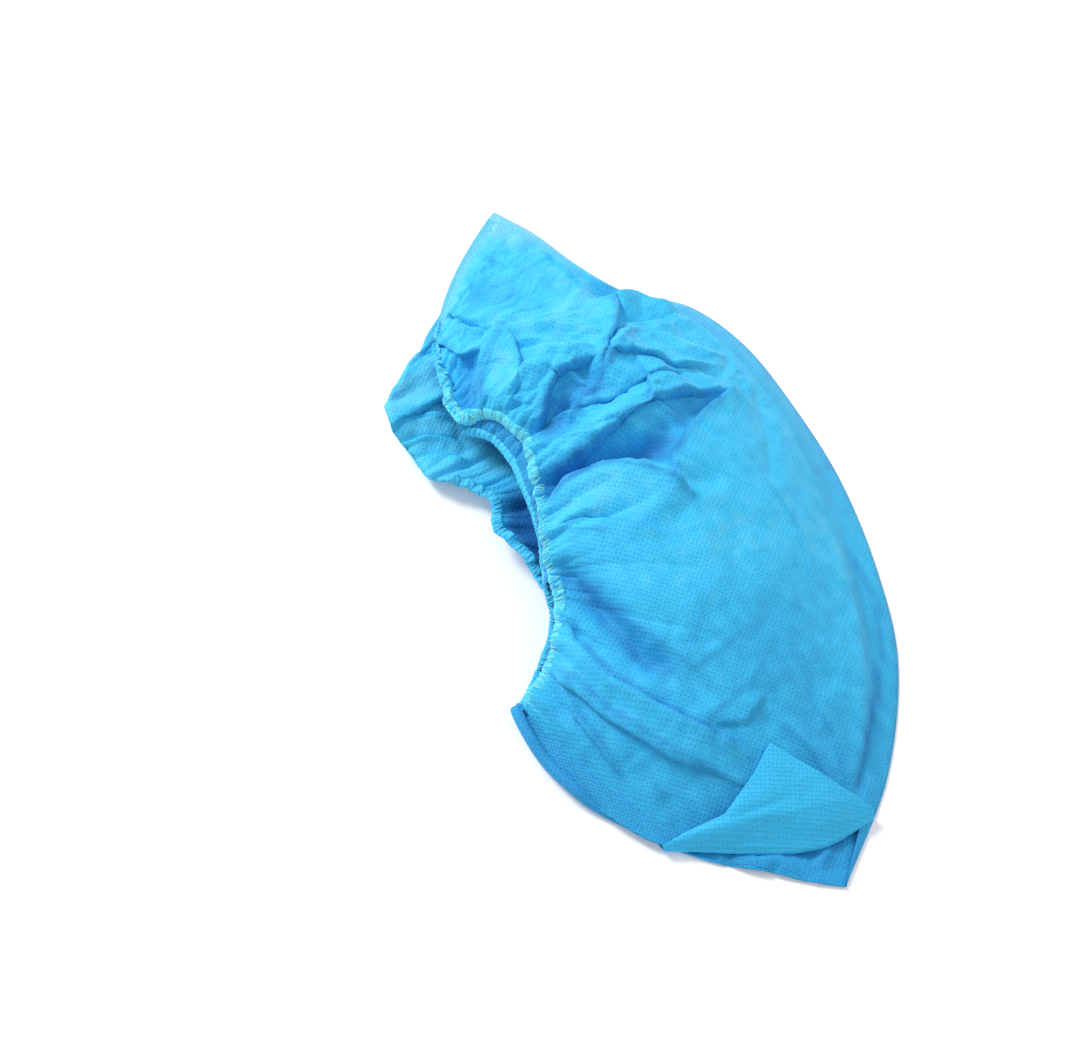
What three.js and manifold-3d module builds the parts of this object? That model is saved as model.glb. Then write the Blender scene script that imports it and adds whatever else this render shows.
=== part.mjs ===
// Disposable shoe cover of thin nonwoven cloth, lying on its side with its mouth open.
// Millimetres, +Z up. Y runs along the folded sole from the toe end (-Y) to the heel end (+Y),
// +X points from the mouth to the sole fold, and the floor is z = 0.
//
// Laid out flat the cover is a double layer of cloth 405 x 148: a sheet folded along the sole, sewn at
// both ends, with elastic in the mouth's hem. The elastic gathers the hem to half its length, so
// the cover curls into a crescent: a short gathered rim inside, the long sole fold outside.
import * as THREE from "three";
import Module from "manifold-3d";
import { mergeVertices } from "three/addons/utils/BufferGeometryUtils.js";

// ---- driving dimensions ----
const WALL = 1.2; // cloth wall: the real cloth is far thinner, a wall is drawn thick enough to be a solid
const GAP = 0.3; // room between neighbouring pieces
const HEM_WIDTH = 6; // band that holds the elastic
const HEM_THICKNESS = 2.4; // gathered cloth round the elastic
const FRILL_WIDTH = 6; // allowance of the hem that hangs inside the mouth
const FRILL_THICKNESS = 1.6;
const FRILL_DROP = 2; // how much lower its free edge hangs
const SEAM_THICKNESS = 1.5; // both layers, pressed together
const SOLE_EDGE = 3; // height of the upper layer where it meets the sole fold
const OUTER_LENGTH = 400; // length of the cover along the sole fold
const CLOSED_END = 4; // length of each end, from the seam inwards, where the layers lie together
const CLOSED_SOLE = 4; // the same along the sole fold
const SLOPED_WALL = 1.25; // a wall measured straight down is this much thicker than square to its slope
const MOUTH_CUT = 1.03; // the hollow runs this far across the upper layer, so it breaks out at the mouth
const FLATNESS = 0.02; // facets flatter than this are joined
const STEPS_ALONG = 48; // facets from toe to heel
const STEPS_ACROSS = 15; // facets from sole to rim
const BAND_STEPS = 2; // facets across a narrow band
const FOLD_FADE = 48; // how quickly the folds grow in from the sole, the rim and both ends
const HEM_ROOM = 4; // the room cut for the hem is taller by this many gaps, because the hem follows the cloth roughly
const MERGE = 1e-4; // corners nearer than this are one corner
const SMALL_STEP = 0.01; // share of the cover over which a direction is measured

// Where the pieces start and end along the cover: 0 is the toe edge, 1 the heel edge. The end seams also
// have a start and end across it, where 0 is the sole and 1 the rim: the toe seam stops at the turned-up corner.
const TOE_SEAM = { from: 0.008, to: 0.03, sole: 0.55, rim: 0.87 };
const HEEL_SEAM = { from: 0.968, to: 0.994, sole: 0.06, rim: 0.74 };
const POUCH = { from: 0.034, to: 0.962 };
const FRILL = { from: 0.42, to: 0.84 };

// Sections across the cover, evenly numbered from the toe seam to the heel seam.
// sole: the upper layer's edge at the sole; mid and crest: its middle, and how high that is puffed;
// rim: its gathered edge; under, lowMid and low: the lower layer's edge at the sole, its middle and its rim.
const SECTION_COLUMNS = ["soleX", "soleY", "midX", "midY", "crest", "rimX", "rimY", "rimZ",
  "underX", "underY", "lowMidX", "lowMidY", "lowX", "lowY"];
const SECTIONS = [
  [21, -151, -41, -134, 4, -78, -57, 3, 0, -171, -63, -117, -81, -57],
  [33, -136, -27, -114, 15, -63, -50, 11, 35, -139, -27, -114, -62, -44],
  [57, -92, -5, -85, 27, -53, -37, 16, 62, -99, -5, -85, -52, -29],
  [69, -52, 6, -55, 35, -49, -25, 20, 75, -59, 6, -55, -51, -15],
  [78, -14, 12, -25, 38, -46, -13, 22, 82, -16, 12, -25, -53, -1],
  [81, 24, 14, 4, 37, -41, 3, 23, 82, 24, 14, 4, -57, 11],
  [76, 60, 14, 30, 35, -37, 18, 24, 78, 60, 14, 30, -55, 22],
  [65, 88, 11, 52, 32, -33, 34, 22, 66, 88, 11, 52, -56, 34],
  [45, 106, 1, 71, 27, -36, 50, 20, 45, 106, 1, 71, -67, 47],
  [30, 127, -10, 90, 21, -46, 60, 16, 30, 127, -10, 90, -75, 66],
  [20, 151, -19, 109, 13, -49, 78, 11, 20, 151, -29, 108, -73, 88],
  [9, 171, -22, 142, 4, -37, 118, 3, 9, 171, -22, 140, -38, 121],
].map((row) => Object.fromEntries(SECTION_COLUMNS.map((name, i) => [name, row[i]])));

// Folds and dents of the upper layer, each a straight ridge (height > 0) or valley (height < 0)
// from one point to another as seen from above, with rounded flanks half as wide as `width`.
const FOLD_COLUMNS = ["fromX", "fromY", "toX", "toY", "width", "height"];
const FOLDS = [
  [-49, -24, -33, -88, 16, -7], // hollow beside the long pleat
  [-53, -52, -23, -112, 12, 4], // long pleat towards the toe
  [-60, -66, -37, -118, 14, -4], // flat panel between the pleat and the toe seam
  [-35, 13, 21, 25, 14, -7], // valley from the rim to the crown
  [-35, 0, -5, -8, 14, 4], // pillow fold below the valley
  [13, -4, 41, 8, 12, 2], // ridge from the pillow fold to the sole
  [-7, 38, 51, 40, 10, 3], // ridge above the valley
  [-20, 53, 11, 56, 14, -6], // hollow under the ledge at the heel
  [15, 62, 28, 110, 12, -5], // curved ledge at the heel
  [-21, 70, -15, 98, 12, 4], // leaf-shaped facet beside the rim
  [-37, 100, -11, 106, 8, -3], // cross wrinkle at the heel
  [-19, -100, 7, -88, 12, 3], // faint ridge near the toe
].map((row) => Object.fromEntries(FOLD_COLUMNS.map((name, i) => [name, row[i]])));

// The toe corner of the upper layer is turned up. Its fold line and its raised free edge, from the toe
// seam round the corner's tip to the sole.
const CORNER_COLUMNS = ["foldX", "foldY", "edgeX", "edgeY", "edgeZ"];
const CORNER = [
  [-55, -131, -55, -131, 4],
  [-44, -136, -45, -131, 8],
  [-32, -142, -30, -132, 12],
  [-20, -148, -15, -124, 16],
  [-9, -152, -4, -116, 19],
  [4, -154, 9, -134, 15],
  [23, -151, 23, -151, 6],
].map((row) => Object.fromEntries(CORNER_COLUMNS.map((name, i) => [name, row[i]])));
const CORNER_FOLD_HEIGHT = 2.8;
const CORNER_DROP = 1.8; // its wall measured straight down, because the sheet slopes
const CORNER_END = 0.02; // share left off at both ends, where the sheet would have no width
const CORNER_STEPS = 6; // facets between its rows, and across it

// Colours of the cloth, from the bright panels to the shaded lower layer and the pale hem.
const CLOTH = { color: 0x45c3f2, roughness: 0.85, metalness: 0 };
const HEM_CLOTH = { color: 0x6fcdf0, roughness: 0.9, metalness: 0 };
const FRILL_CLOTH = { color: 0x3f9fdc, roughness: 0.9, metalness: 0 };
const SEAM_CLOTH = { color: 0x58c8f2, roughness: 0.85, metalness: 0 };

// ---- surfaces ----

/** Value of a table's column at t from 0 to 1, on a smooth curve through the rows. */
function along(table, column, t) {
  const last = table.length - 1;
  const i = Math.min(Math.floor(t * last), last - 1);
  const f = t * last - i;
  const at = (k) => table[Math.min(Math.max(k, 0), last)][column];
  const [a, b, c, d] = [at(i - 1), at(i), at(i + 1), at(i + 2)];
  return b + 0.5 * f * (c - a + f * (2 * a - 5 * b + 4 * c - d + f * (3 * (b - c) + d - a)));
}

/** Value of a table's column at t from 0 to 1, on straight lines between the rows, which keeps corners. */
function between(table, column, t) {
  const last = table.length - 1;
  const i = Math.min(Math.floor(t * last), last - 1);
  return THREE.MathUtils.lerp(table[i][column], table[i + 1][column], t * last - i);
}

/** Parabola through `start` at 0, `middle` at 0.5 and `end` at 1. */
function parabola(start, middle, end, v) {
  return start * (1 - v) * (1 - 2 * v) + 4 * middle * v * (1 - v) + end * v * (2 * v - 1);
}

/** How much the folds lift or press down the upper layer at a point seen from above. */
function foldHeight(x, y) {
  let height = 0;
  for (const fold of FOLDS) {
    const [dx, dy] = [fold.toX - fold.fromX, fold.toY - fold.fromY];
    const t = THREE.MathUtils.clamp(((x - fold.fromX) * dx + (y - fold.fromY) * dy) / (dx * dx + dy * dy), 0, 1);
    const away = Math.hypot(x - fold.fromX - t * dx, y - fold.fromY - t * dy) / (fold.width / 2);
    height += fold.height * Math.exp(-away * away);
  }
  return height;
}

/** Point of the upper layer's outer face: s from toe (0) to heel (1), v from sole (0) to rim (1). */
function upper(s, v) {
  const x = parabola(along(SECTIONS, "soleX", s), along(SECTIONS, "midX", s), along(SECTIONS, "rimX", s), v);
  const y = parabola(along(SECTIONS, "soleY", s), along(SECTIONS, "midY", s), along(SECTIONS, "rimY", s), v);
  const puffed = parabola(SOLE_EDGE, along(SECTIONS, "crest", s), along(SECTIONS, "rimZ", s), v);
  // the folds fade out towards the sole, the rim and both ends
  const fade = Math.min(1, FOLD_FADE * v * (1 - v) * s * (1 - s));
  return new THREE.Vector3(x, y, Math.max(SOLE_EDGE, puffed + fade * foldHeight(x, y)));
}

/** Point of the lower layer as seen from above, at height z. */
function lower(s, v, z) {
  const x = parabola(along(SECTIONS, "underX", s), along(SECTIONS, "lowMidX", s), along(SECTIONS, "lowX", s), v);
  const y = parabola(along(SECTIONS, "underY", s), along(SECTIONS, "lowMidY", s), along(SECTIONS, "lowY", s), v);
  return new THREE.Vector3(x, y, z);
}

/** Point `distance` mm in from a layer's rim, square to the rim as seen from above, and level with the layer. */
function inFromRim(layer, s, distance) {
  const rim = layer(s, 1, 0);
  const tangent = layer(Math.min(s + SMALL_STEP, 1), 1, 0).sub(layer(Math.max(s - SMALL_STEP, 0), 1, 0));
  const normal = new THREE.Vector3(tangent.y, -tangent.x, 0).normalize();
  const inner = layer(s, 1 - 5 * SMALL_STEP, 0);
  const slope = (inner.z - rim.z) / Math.hypot(inner.x - rim.x, inner.y - rim.y);
  return rim.addScaledVector(normal, distance).setZ(rim.z + slope * distance);
}

/** The v at which a layer is `distance` mm in from the sole. */
function nearSole(layer, s, distance) {
  return (distance * SMALL_STEP) / layer(s, 0, 0).distanceTo(layer(s, SMALL_STEP, 0));
}

// ---- solids ----

/** Closed mesh between two faces over the same grid, top(i, j) and bottom(i, j) with i and j from 0 to 1,
 * where turning from i's direction to j's is anticlockwise as seen from above. */
function slab(top, bottom, stepsAlong, stepsAcross) {
  const columns = stepsAcross + 1;
  const count = (stepsAlong + 1) * columns;
  const positions = [];
  for (const face of [top, bottom]) {
    for (let i = 0; i <= stepsAlong; i++) {
      for (let j = 0; j <= stepsAcross; j++) positions.push(...face(i / stepsAlong, j / stepsAcross).toArray());
    }
  }
  const triangles = [];
  const quad = (a, b, c, d) => triangles.push(a, b, c, a, c, d);
  for (let i = 0; i < stepsAlong; i++) {
    for (let j = 0; j < stepsAcross; j++) {
      const a = i * columns + j;
      quad(a, a + columns, a + columns + 1, a + 1);
      quad(count + a, count + a + 1, count + a + columns + 1, count + a + columns);
    }
  }
  const wall = (a, b) => quad(a, b, count + b, count + a);
  for (let j = 0; j < stepsAcross; j++) {
    wall(j, j + 1);
    wall(count - columns + j + 1, count - columns + j);
  }
  for (let i = 0; i < stepsAlong; i++) {
    wall((i + 1) * columns, i * columns);
    wall(i * columns + stepsAcross, (i + 1) * columns + stepsAcross);
  }
  const geometry = new THREE.BufferGeometry();
  geometry.setAttribute("position", new THREE.Float32BufferAttribute(positions, 3));
  geometry.setIndex(triangles);
  return mergeVertices(geometry, MERGE);
}

const wasm = await Module();
wasm.setup();

/** A closed geometry as a solid that can be joined and cut. */
function solid(geometry) {
  return new wasm.Manifold(new wasm.Mesh({
    numProp: 3,
    vertProperties: new Float32Array(geometry.attributes.position.array),
    triVerts: new Uint32Array(geometry.index.array),
  }));
}

/** A joined or cut solid as a geometry again. */
function geometryOf(manifold) {
  const mesh = manifold.getMesh();
  const geometry = new THREE.BufferGeometry();
  geometry.setAttribute("position", new THREE.Float32BufferAttribute(mesh.vertProperties, 3));
  geometry.setIndex(Array.from(mesh.triVerts));
  return geometry;
}

function piece(name, geometry, finish) {
  const shaded = geometry.toNonIndexed();
  shaded.computeVertexNormals();
  const mesh = new THREE.Mesh(shaded, new THREE.MeshStandardMaterial(finish));
  mesh.name = name;
  return mesh;
}

/** Value at i from 0 to 1 between a range's ends. */
const within = (range, i) => THREE.MathUtils.lerp(range.from, range.to, i);

/** The pouch: the upper layer's puffed wall over the flat lower layer, open at the mouth. */
function coverBody() {
  const filled = slab(
    (i, j) => upper(within(POUCH, i), j),
    (i, j) => upper(within(POUCH, i), j).setZ(0),
    STEPS_ALONG, STEPS_ACROSS,
  );
  const endInset = CLOSED_END / OUTER_LENGTH;
  const room = { from: POUCH.from + endInset, to: POUCH.to - endInset };
  const inside = (i, j, floor) => {
    const s = within(room, i);
    const point = upper(s, THREE.MathUtils.lerp(nearSole(upper, s, CLOSED_SOLE), MOUTH_CUT, j));
    return point.setZ(floor ? -WALL : Math.max(point.z - SLOPED_WALL * WALL, WALL));
  };
  const hollow = slab(
    (i, j) => inside(i, j, false),
    (i, j) => inside(i, j, true),
    STEPS_ALONG, STEPS_ACROSS,
  );
  const floorPlate = slab(
    (i, j) => lower(i, j, WALL),
    (i, j) => lower(i, j, 0),
    STEPS_ALONG, STEPS_ACROSS,
  );
  return solid(filled).subtract(solid(hollow)).add(solid(floorPlate)).add(solid(turnedCorner()))
    .subtract(elasticHem(GAP)).simplify(FLATNESS);
}

/** The turned-up toe corner: a sheet from its fold line up to its free edge. */
function turnedCorner() {
  const sheet = (t, r) => new THREE.Vector3(
    THREE.MathUtils.lerp(between(CORNER, "foldX", t), between(CORNER, "edgeX", t), r),
    THREE.MathUtils.lerp(between(CORNER, "foldY", t), between(CORNER, "edgeY", t), r),
    THREE.MathUtils.lerp(CORNER_FOLD_HEIGHT, between(CORNER, "edgeZ", t), Math.sqrt(r)),
  );
  const drop = new THREE.Vector3(0, 0, CORNER_DROP);
  const t = (i) => THREE.MathUtils.lerp(CORNER_END, 1 - CORNER_END, i);
  const steps = CORNER_STEPS * (CORNER.length - 1);
  return slab((i, j) => sheet(t(i), j), (i, j) => sheet(t(i), j).sub(drop), steps, CORNER_STEPS);
}

/** The gathered band with the elastic in it, all round the mouth. With `grow` it is the room to cut for it,
 * wider by that much all round and taller by more. */
function elasticHem(grow = 0) {
  const half = HEM_THICKNESS / 2 + HEM_ROOM * grow;
  const band = (layer, bottom, top) => {
    const at = (s, j, z) => {
      const point = inFromRim(layer, s, THREE.MathUtils.lerp(HEM_WIDTH + grow, -grow, j));
      return point.setZ(point.z + z);
    };
    return solid(slab((s, j) => at(s, j, top), (s, j) => at(s, j, bottom), STEPS_ALONG, BAND_STEPS));
  };
  return band(upper, -half, half).add(band(lower, -grow, HEM_THICKNESS + grow));
}

/** The hem's allowance hanging inside the mouth under the near rim. */
function hemFrill() {
  const top = (i, j) => {
    const point = inFromRim(upper, within(FRILL, i), THREE.MathUtils.lerp(1, 1 - FRILL_WIDTH, j));
    return point.setZ(upper(within(FRILL, i), 1).z - HEM_THICKNESS / 2 - GAP - FRILL_DROP * j);
  };
  const under = (i, j) => top(i, j).sub(new THREE.Vector3(0, 0, FRILL_THICKNESS));
  return slab(top, under, STEPS_ALONG / 2, BAND_STEPS);
}

/** A pressed end seam lying on the lower layer along the pouch's end. */
function endSeam(seam) {
  const at = (i, j, z) => upper(within(seam, j), THREE.MathUtils.lerp(seam.sole, seam.rim, i)).setZ(z);
  return slab(
    (i, j) => at(1 - i, j, WALL + GAP + SEAM_THICKNESS),
    (i, j) => at(1 - i, j, WALL + GAP),
    STEPS_ACROSS, 1,
  );
}

const group = new THREE.Group();
group.add(piece("cover_body", geometryOf(coverBody()), CLOTH));
group.add(piece("elastic_hem", geometryOf(elasticHem()), HEM_CLOTH));
group.add(piece("hem_frill", hemFrill(), FRILL_CLOTH));
group.add(piece("toe_seam", endSeam(TOE_SEAM), SEAM_CLOTH));
group.add(piece("heel_seam", endSeam(HEEL_SEAM), SEAM_CLOTH));

export default group;
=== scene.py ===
"""Disposable nonwoven shoe cover, lying on its side with its gathered mouth open.

The cover is a pouch of thin blue cloth: an upper layer puffed up over a lower layer that lies on the floor, joined
along the sole fold and at both ends, with elastic in the hem round the mouth. Lengths in the tables are millimetres
in the frame's own axes: +Y from toe to heel along the sole fold, +X from the mouth to the sole, +Z up.
"""

import logging
import math
from dataclasses import dataclass, field
from enum import Enum

import bmesh
import bpy
import numpy as np
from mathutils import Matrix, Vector


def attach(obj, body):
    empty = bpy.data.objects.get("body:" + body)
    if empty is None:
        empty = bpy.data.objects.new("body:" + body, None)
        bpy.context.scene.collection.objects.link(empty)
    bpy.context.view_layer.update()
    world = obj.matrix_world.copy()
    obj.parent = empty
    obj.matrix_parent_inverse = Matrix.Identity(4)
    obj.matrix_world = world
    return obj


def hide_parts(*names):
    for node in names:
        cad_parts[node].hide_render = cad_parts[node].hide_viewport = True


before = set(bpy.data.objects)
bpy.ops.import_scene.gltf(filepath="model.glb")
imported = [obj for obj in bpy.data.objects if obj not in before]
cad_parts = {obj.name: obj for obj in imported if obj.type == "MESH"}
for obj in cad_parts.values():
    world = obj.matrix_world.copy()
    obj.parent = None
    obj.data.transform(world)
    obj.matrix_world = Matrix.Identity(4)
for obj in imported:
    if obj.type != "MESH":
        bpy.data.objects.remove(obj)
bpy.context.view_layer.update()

LOG = logging.getLogger("shoe_cover")
MM = 0.001
BODY = "root"
CLOTH_THICKNESS = 0.35  # millimetres, the drawn thickness of the nonwoven


# ---- numbers and curves ----


class Table:
    """Rows of numbers with named columns, along a parameter from 0 to 1.

    The column "place" gives each row's parameter; without it the rows are evenly spaced.
    """

    def __init__(self, columns: str, rows: list[tuple[float, ...]]) -> None:
        """Keep the rows.

        Args:
            columns: the column names, split by spaces.
            rows: one tuple of numbers per row, in the order of the columns.
        """
        self.columns = columns.split()
        self.values = np.array(rows, float)
        self.places = self.column("place") if "place" in self.columns else np.linspace(0, 1, len(rows))

    def column(self, name: str) -> np.ndarray:
        """One column's numbers."""
        return self.values[:, self.columns.index(name)]

    def along(self, name: str, t: np.ndarray) -> np.ndarray:
        """Value of a column on a smooth cubic (Hermite) curve through its rows.

        Args:
            name: the column's name.
            t: where to read it, from 0 to 1.

        Returns:
            The values, in the shape of t.
        """
        y, at = self.column(name), self.places
        slope = np.gradient(y, at)
        t = np.clip(np.asarray(t, float), 0, 1)
        i = np.clip(np.searchsorted(at, t, side="right") - 1, 0, len(y) - 2)
        span = at[i + 1] - at[i]
        f = (t - at[i]) / span
        rise = (2 * f**3 - 3 * f**2 + 1) * y[i] + (3 * f**2 - 2 * f**3) * y[i + 1]
        return rise + span * ((f**3 - 2 * f**2 + f) * slope[i] + (f**3 - f**2) * slope[i + 1])

    def between(self, name: str, t: np.ndarray) -> np.ndarray:
        """Value of a column on straight lines between its rows, which keeps corners sharp."""
        return np.interp(t, self.places, self.column(name))


def smooth(x: np.ndarray, low: float, high: float) -> np.ndarray:
    """Smooth step: 0 below low, 1 above high, an S curve between."""
    f = np.clip((np.asarray(x, float) - low) / (high - low), 0, 1)
    return f * f * (3 - 2 * f)


def parabola(start: np.ndarray, middle: np.ndarray, end: np.ndarray, v: np.ndarray) -> np.ndarray:
    """Parabola through start at 0, middle at 0.5 and end at 1."""
    return start * (1 - v) * (1 - 2 * v) + 4 * middle * v * (1 - v) + end * v * (2 * v - 1)


def wander(x: np.ndarray, seed: int) -> np.ndarray:
    """One-dimensional smooth noise from -1 to 1: random values at whole numbers, joined by S curves.

    Args:
        x: where to read the noise.
        seed: seed of the random draws.

    Returns:
        The noise, in the shape of x.
    """
    values = np.random.default_rng(seed).uniform(-1, 1, 4096)
    i = np.floor(x).astype(int)
    f = x - i
    f = f * f * (3 - 2 * f)
    return values[i % 4096] * (1 - f) + values[(i + 1) % 4096] * f


def ripple(x: np.ndarray, y: np.ndarray, size: float, seed: int, count: int = 14) -> np.ndarray:
    """Two-dimensional smooth noise of about -1 to 1: a sum of plane waves of random direction and phase.

    Args:
        x: first coordinate, millimetres.
        y: second coordinate, millimetres.
        size: wavelength of the waves, millimetres.
        seed: seed of the random draws.
        count: how many waves are summed.

    Returns:
        The noise, in the shape of x.
    """
    rng = np.random.default_rng(seed)
    total = np.zeros(np.broadcast(x, y).shape)
    for angle, phase, stretch in zip(rng.uniform(0, math.tau, count), rng.uniform(0, math.tau, count),
                                     rng.uniform(0.7, 1.5, count)):
        turn = math.tau / (size * stretch)
        total += np.sin(turn * (x * math.cos(angle) + y * math.sin(angle)) + phase)
    return total / math.sqrt(count)


def unit(vectors: np.ndarray) -> np.ndarray:
    """Vectors scaled to length 1 along the last axis."""
    return vectors / np.maximum(np.linalg.norm(vectors, axis=-1, keepdims=True), 1e-9)


def normals_of(points: np.ndarray) -> np.ndarray:
    """Unit normals of a grid of points: the cross product of its two tangents."""
    return unit(np.cross(np.gradient(points, axis=0), np.gradient(points, axis=1)))


def beside(line: np.ndarray) -> np.ndarray:
    """Level unit vectors square to a line of points, on its right as seen from above."""
    tangent = np.gradient(line, axis=0)
    return unit(np.stack([tangent[:, 1], -tangent[:, 0], 0 * tangent[:, 0]], axis=1))


def run_length(points: np.ndarray) -> np.ndarray:
    """Distance along a row of points, from its first point."""
    steps = np.linalg.norm(np.diff(points, axis=0), axis=1)
    return np.concatenate([[0.0], np.cumsum(steps)])


def rim_distances(points: np.ndarray) -> tuple[np.ndarray, np.ndarray]:
    """Distances from and along a grid's last column, which is the rim.

    Args:
        points: grid of points, shape (rows, columns, 3).

    Returns:
        Distance of each point from the rim along its row, and distance of each row along the rim, in one column.
    """
    steps = np.linalg.norm(np.diff(points, axis=1), axis=2)
    away = np.concatenate([np.cumsum(steps[:, ::-1], axis=1)[:, ::-1], np.zeros((len(points), 1))], axis=1)
    return away, run_length(points[:, -1])[:, None]


def flat_places(points: np.ndarray) -> np.ndarray:
    """Place of each grid point on the flat cloth, in metres: the smooth layer opened out as seen from above."""
    return points[..., :2] * MM


def resample(points: np.ndarray, spacing: float) -> np.ndarray:
    """The same line with points at an even spacing.

    Args:
        points: the line's points, one per row.
        spacing: wanted distance between points.

    Returns:
        The new points, one per row.
    """
    length = run_length(points)
    count = max(2, int(length[-1] / spacing))
    at = np.linspace(0, length[-1], count)
    return np.stack([np.interp(at, length, points[:, k]) for k in range(points.shape[1])], axis=1)


# ---- folds ----


class FoldKind(Enum):
    """How a fold's height runs across its line."""

    RIDGE = "rounded on both sides"
    LEDGE = "raised on the left of its line, falling off sharply on the right"
    CREASE = "a sharp narrow tent"


RIDGE, LEDGE, CREASE = FoldKind


@dataclass(frozen=True)
class Fold:
    """A fold along a line seen from above: height in millimetres, width of its flank, and its line's points."""

    kind: FoldKind
    height: float
    width: float
    line: tuple[tuple[float, float], ...]

    def across(self, x: np.ndarray, y: np.ndarray) -> tuple[np.ndarray, ...]:
        """Where points seen from above lie against the fold's line: the nearest of its straight stretches counts.

        Args:
            x: first coordinate, millimetres.
            y: second coordinate, millimetres.

        Returns:
            Signed distance to the line (positive on its left), place along it from 0 to 1, and the two parts of the
            line's right-hand normal, each in the shape of x.
        """
        points = np.array(self.line, float)
        best = np.full(x.shape, 1e9)
        signed, place, nx, ny = (np.zeros(x.shape) for _ in range(4))
        spans = len(points) - 1
        for i in range(spans):
            (ax, ay), (bx, by) = points[i], points[i + 1]
            dx, dy = bx - ax, by - ay
            inside = np.clip(((x - ax) * dx + (y - ay) * dy) / (dx * dx + dy * dy), 0, 1)
            away = np.hypot(x - ax - inside * dx, y - ay - inside * dy)
            side = np.where(dx * (y - ay) - dy * (x - ax) >= 0, 1.0, -1.0)
            nearer = away < best
            best = np.where(nearer, away, best)
            signed = np.where(nearer, away * side, signed)
            place = np.where(nearer, (i + inside) / spans, place)
            nx = np.where(nearer, dy / math.hypot(dx, dy), nx)
            ny = np.where(nearer, -dx / math.hypot(dx, dy), ny)
        return signed, place, nx, ny

    def shift(self, x: np.ndarray, y: np.ndarray) -> np.ndarray:
        """How the fold moves points seen from above: along X, along Y, and up.

        A ridge is a bell curve across its line. A crease is a pointed decay on both sides. A ledge is a decay on its
        left, cut off over two millimetres at the line, and its edge leans out over the low side by half its height.
        All taper to nothing at both ends of the line.

        Args:
            x: first coordinate, millimetres.
            y: second coordinate, millimetres.

        Returns:
            Moves in millimetres, with a last axis of 3.
        """
        signed, place, nx, ny = self.across(x, y)
        taper = smooth(place, -0.02, 0.18) * (1 - smooth(place, 0.72, 1.02))
        lean = np.zeros(x.shape)
        if self.kind is RIDGE:
            shape = np.exp(-((signed / self.width) ** 2))
        elif self.kind is LEDGE:
            shape = np.exp(-np.maximum(signed, 0) / self.width) * smooth(signed, -1.0, 0.8)
            lean = 0.55 * np.exp(-np.maximum(signed, 0) / 5.0) * smooth(signed, -1.6, 0.4)
        else:
            shape = np.exp(-np.abs(signed) / self.width)
        lift = self.height * taper
        return np.stack([lift * lean * nx, lift * lean * ny, lift * shape], axis=-1)

    def shade(self, x: np.ndarray, y: np.ndarray) -> np.ndarray:
        """Painted shade that the fold adds to the cloth's tone: a bell curve just off its low side.

        A hollow gets a little painted shade all over.

        Args:
            x: first coordinate, millimetres.
            y: second coordinate, millimetres.

        Returns:
            The painted shade to take off the tone, in the shape of x.
        """
        signed, place = self.across(x, y)[:2]
        taper = smooth(place, -0.02, 0.15) * (1 - smooth(place, 0.8, 1.02))
        # painted shade: over a hollow, and just off the low side of a ledge or crease
        if self.kind is RIDGE:
            return 0.036 * max(-self.height, 0) * taper * np.exp(-((signed / self.width) ** 2))
        return 0.055 * abs(self.height) ** 0.7 * taper * np.exp(-(((signed + 0.9) / 1.5) ** 2))


@dataclass(frozen=True)
class Creases:
    """Many small random creases in a part of the cloth, like those of a sheet that was packed tight."""

    count: int
    centre: tuple[float, float]
    spread: tuple[float, float]
    length: tuple[float, float]
    width: tuple[float, float]
    height: float
    seed: int
    heading: float = 0.0
    turn: float = math.pi / 2

    def lift(self, x: np.ndarray, y: np.ndarray) -> np.ndarray:
        """Summed height of the creases: each a tent with straight flanks that tapers along its length.

        Args:
            x: first coordinate, millimetres.
            y: second coordinate, millimetres.

        Returns:
            Height in millimetres, in the shape of x.
        """
        rng = np.random.default_rng(self.seed)
        total = np.zeros(x.shape)
        for _ in range(self.count):
            cx, cy = rng.normal(self.centre, self.spread)
            angle = self.heading + rng.uniform(-self.turn, self.turn)
            half = rng.uniform(*self.length) / 2
            flank = rng.uniform(*self.width)
            height = self.height * rng.uniform(0.3, 1.0) * rng.choice((-1.0, 1.0))
            u = (x - cx) * math.cos(angle) + (y - cy) * math.sin(angle)
            w = -(x - cx) * math.sin(angle) + (y - cy) * math.cos(angle)
            total += height * np.maximum(0, 1 - np.abs(w) / flank) * np.maximum(0, 1 - (u / half) ** 2)
        return total


@dataclass(frozen=True)
class Gathers:
    """Pleats that the elastic draws up, square to the rim."""

    pitch: float
    height: float
    reach: float
    seed: int

    def lift(self, along: np.ndarray, away: np.ndarray) -> np.ndarray:
        """Height of the pleats: rounded tops and narrow valleys, each of its own height, dying away from the rim.

        Args:
            along: distance along the rim, millimetres.
            away: distance from the rim, millimetres.

        Returns:
            Height, millimetres.
        """
        phase = along / self.pitch + 0.45 * wander(along / (3.1 * self.pitch), self.seed)
        phase = phase + away / self.pitch * 0.10 * wander(along / (2.3 * self.pitch) + 31, self.seed + 1)
        each = np.random.default_rng(self.seed + 2).uniform(0.25, 1.0, 512)
        top = each[np.floor(phase).astype(int) % 512]
        length = 0.6 + 0.8 * each[(np.floor(phase).astype(int) + 77) % 512]
        fade = np.exp(-((np.maximum(away, 0) / (self.reach * length)) ** 1.5)) * smooth(away, -4, 2)
        return self.height * top * np.abs(np.sin(math.pi * phase)) ** 0.85 * fade


# ---- the cover's form ----

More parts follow.
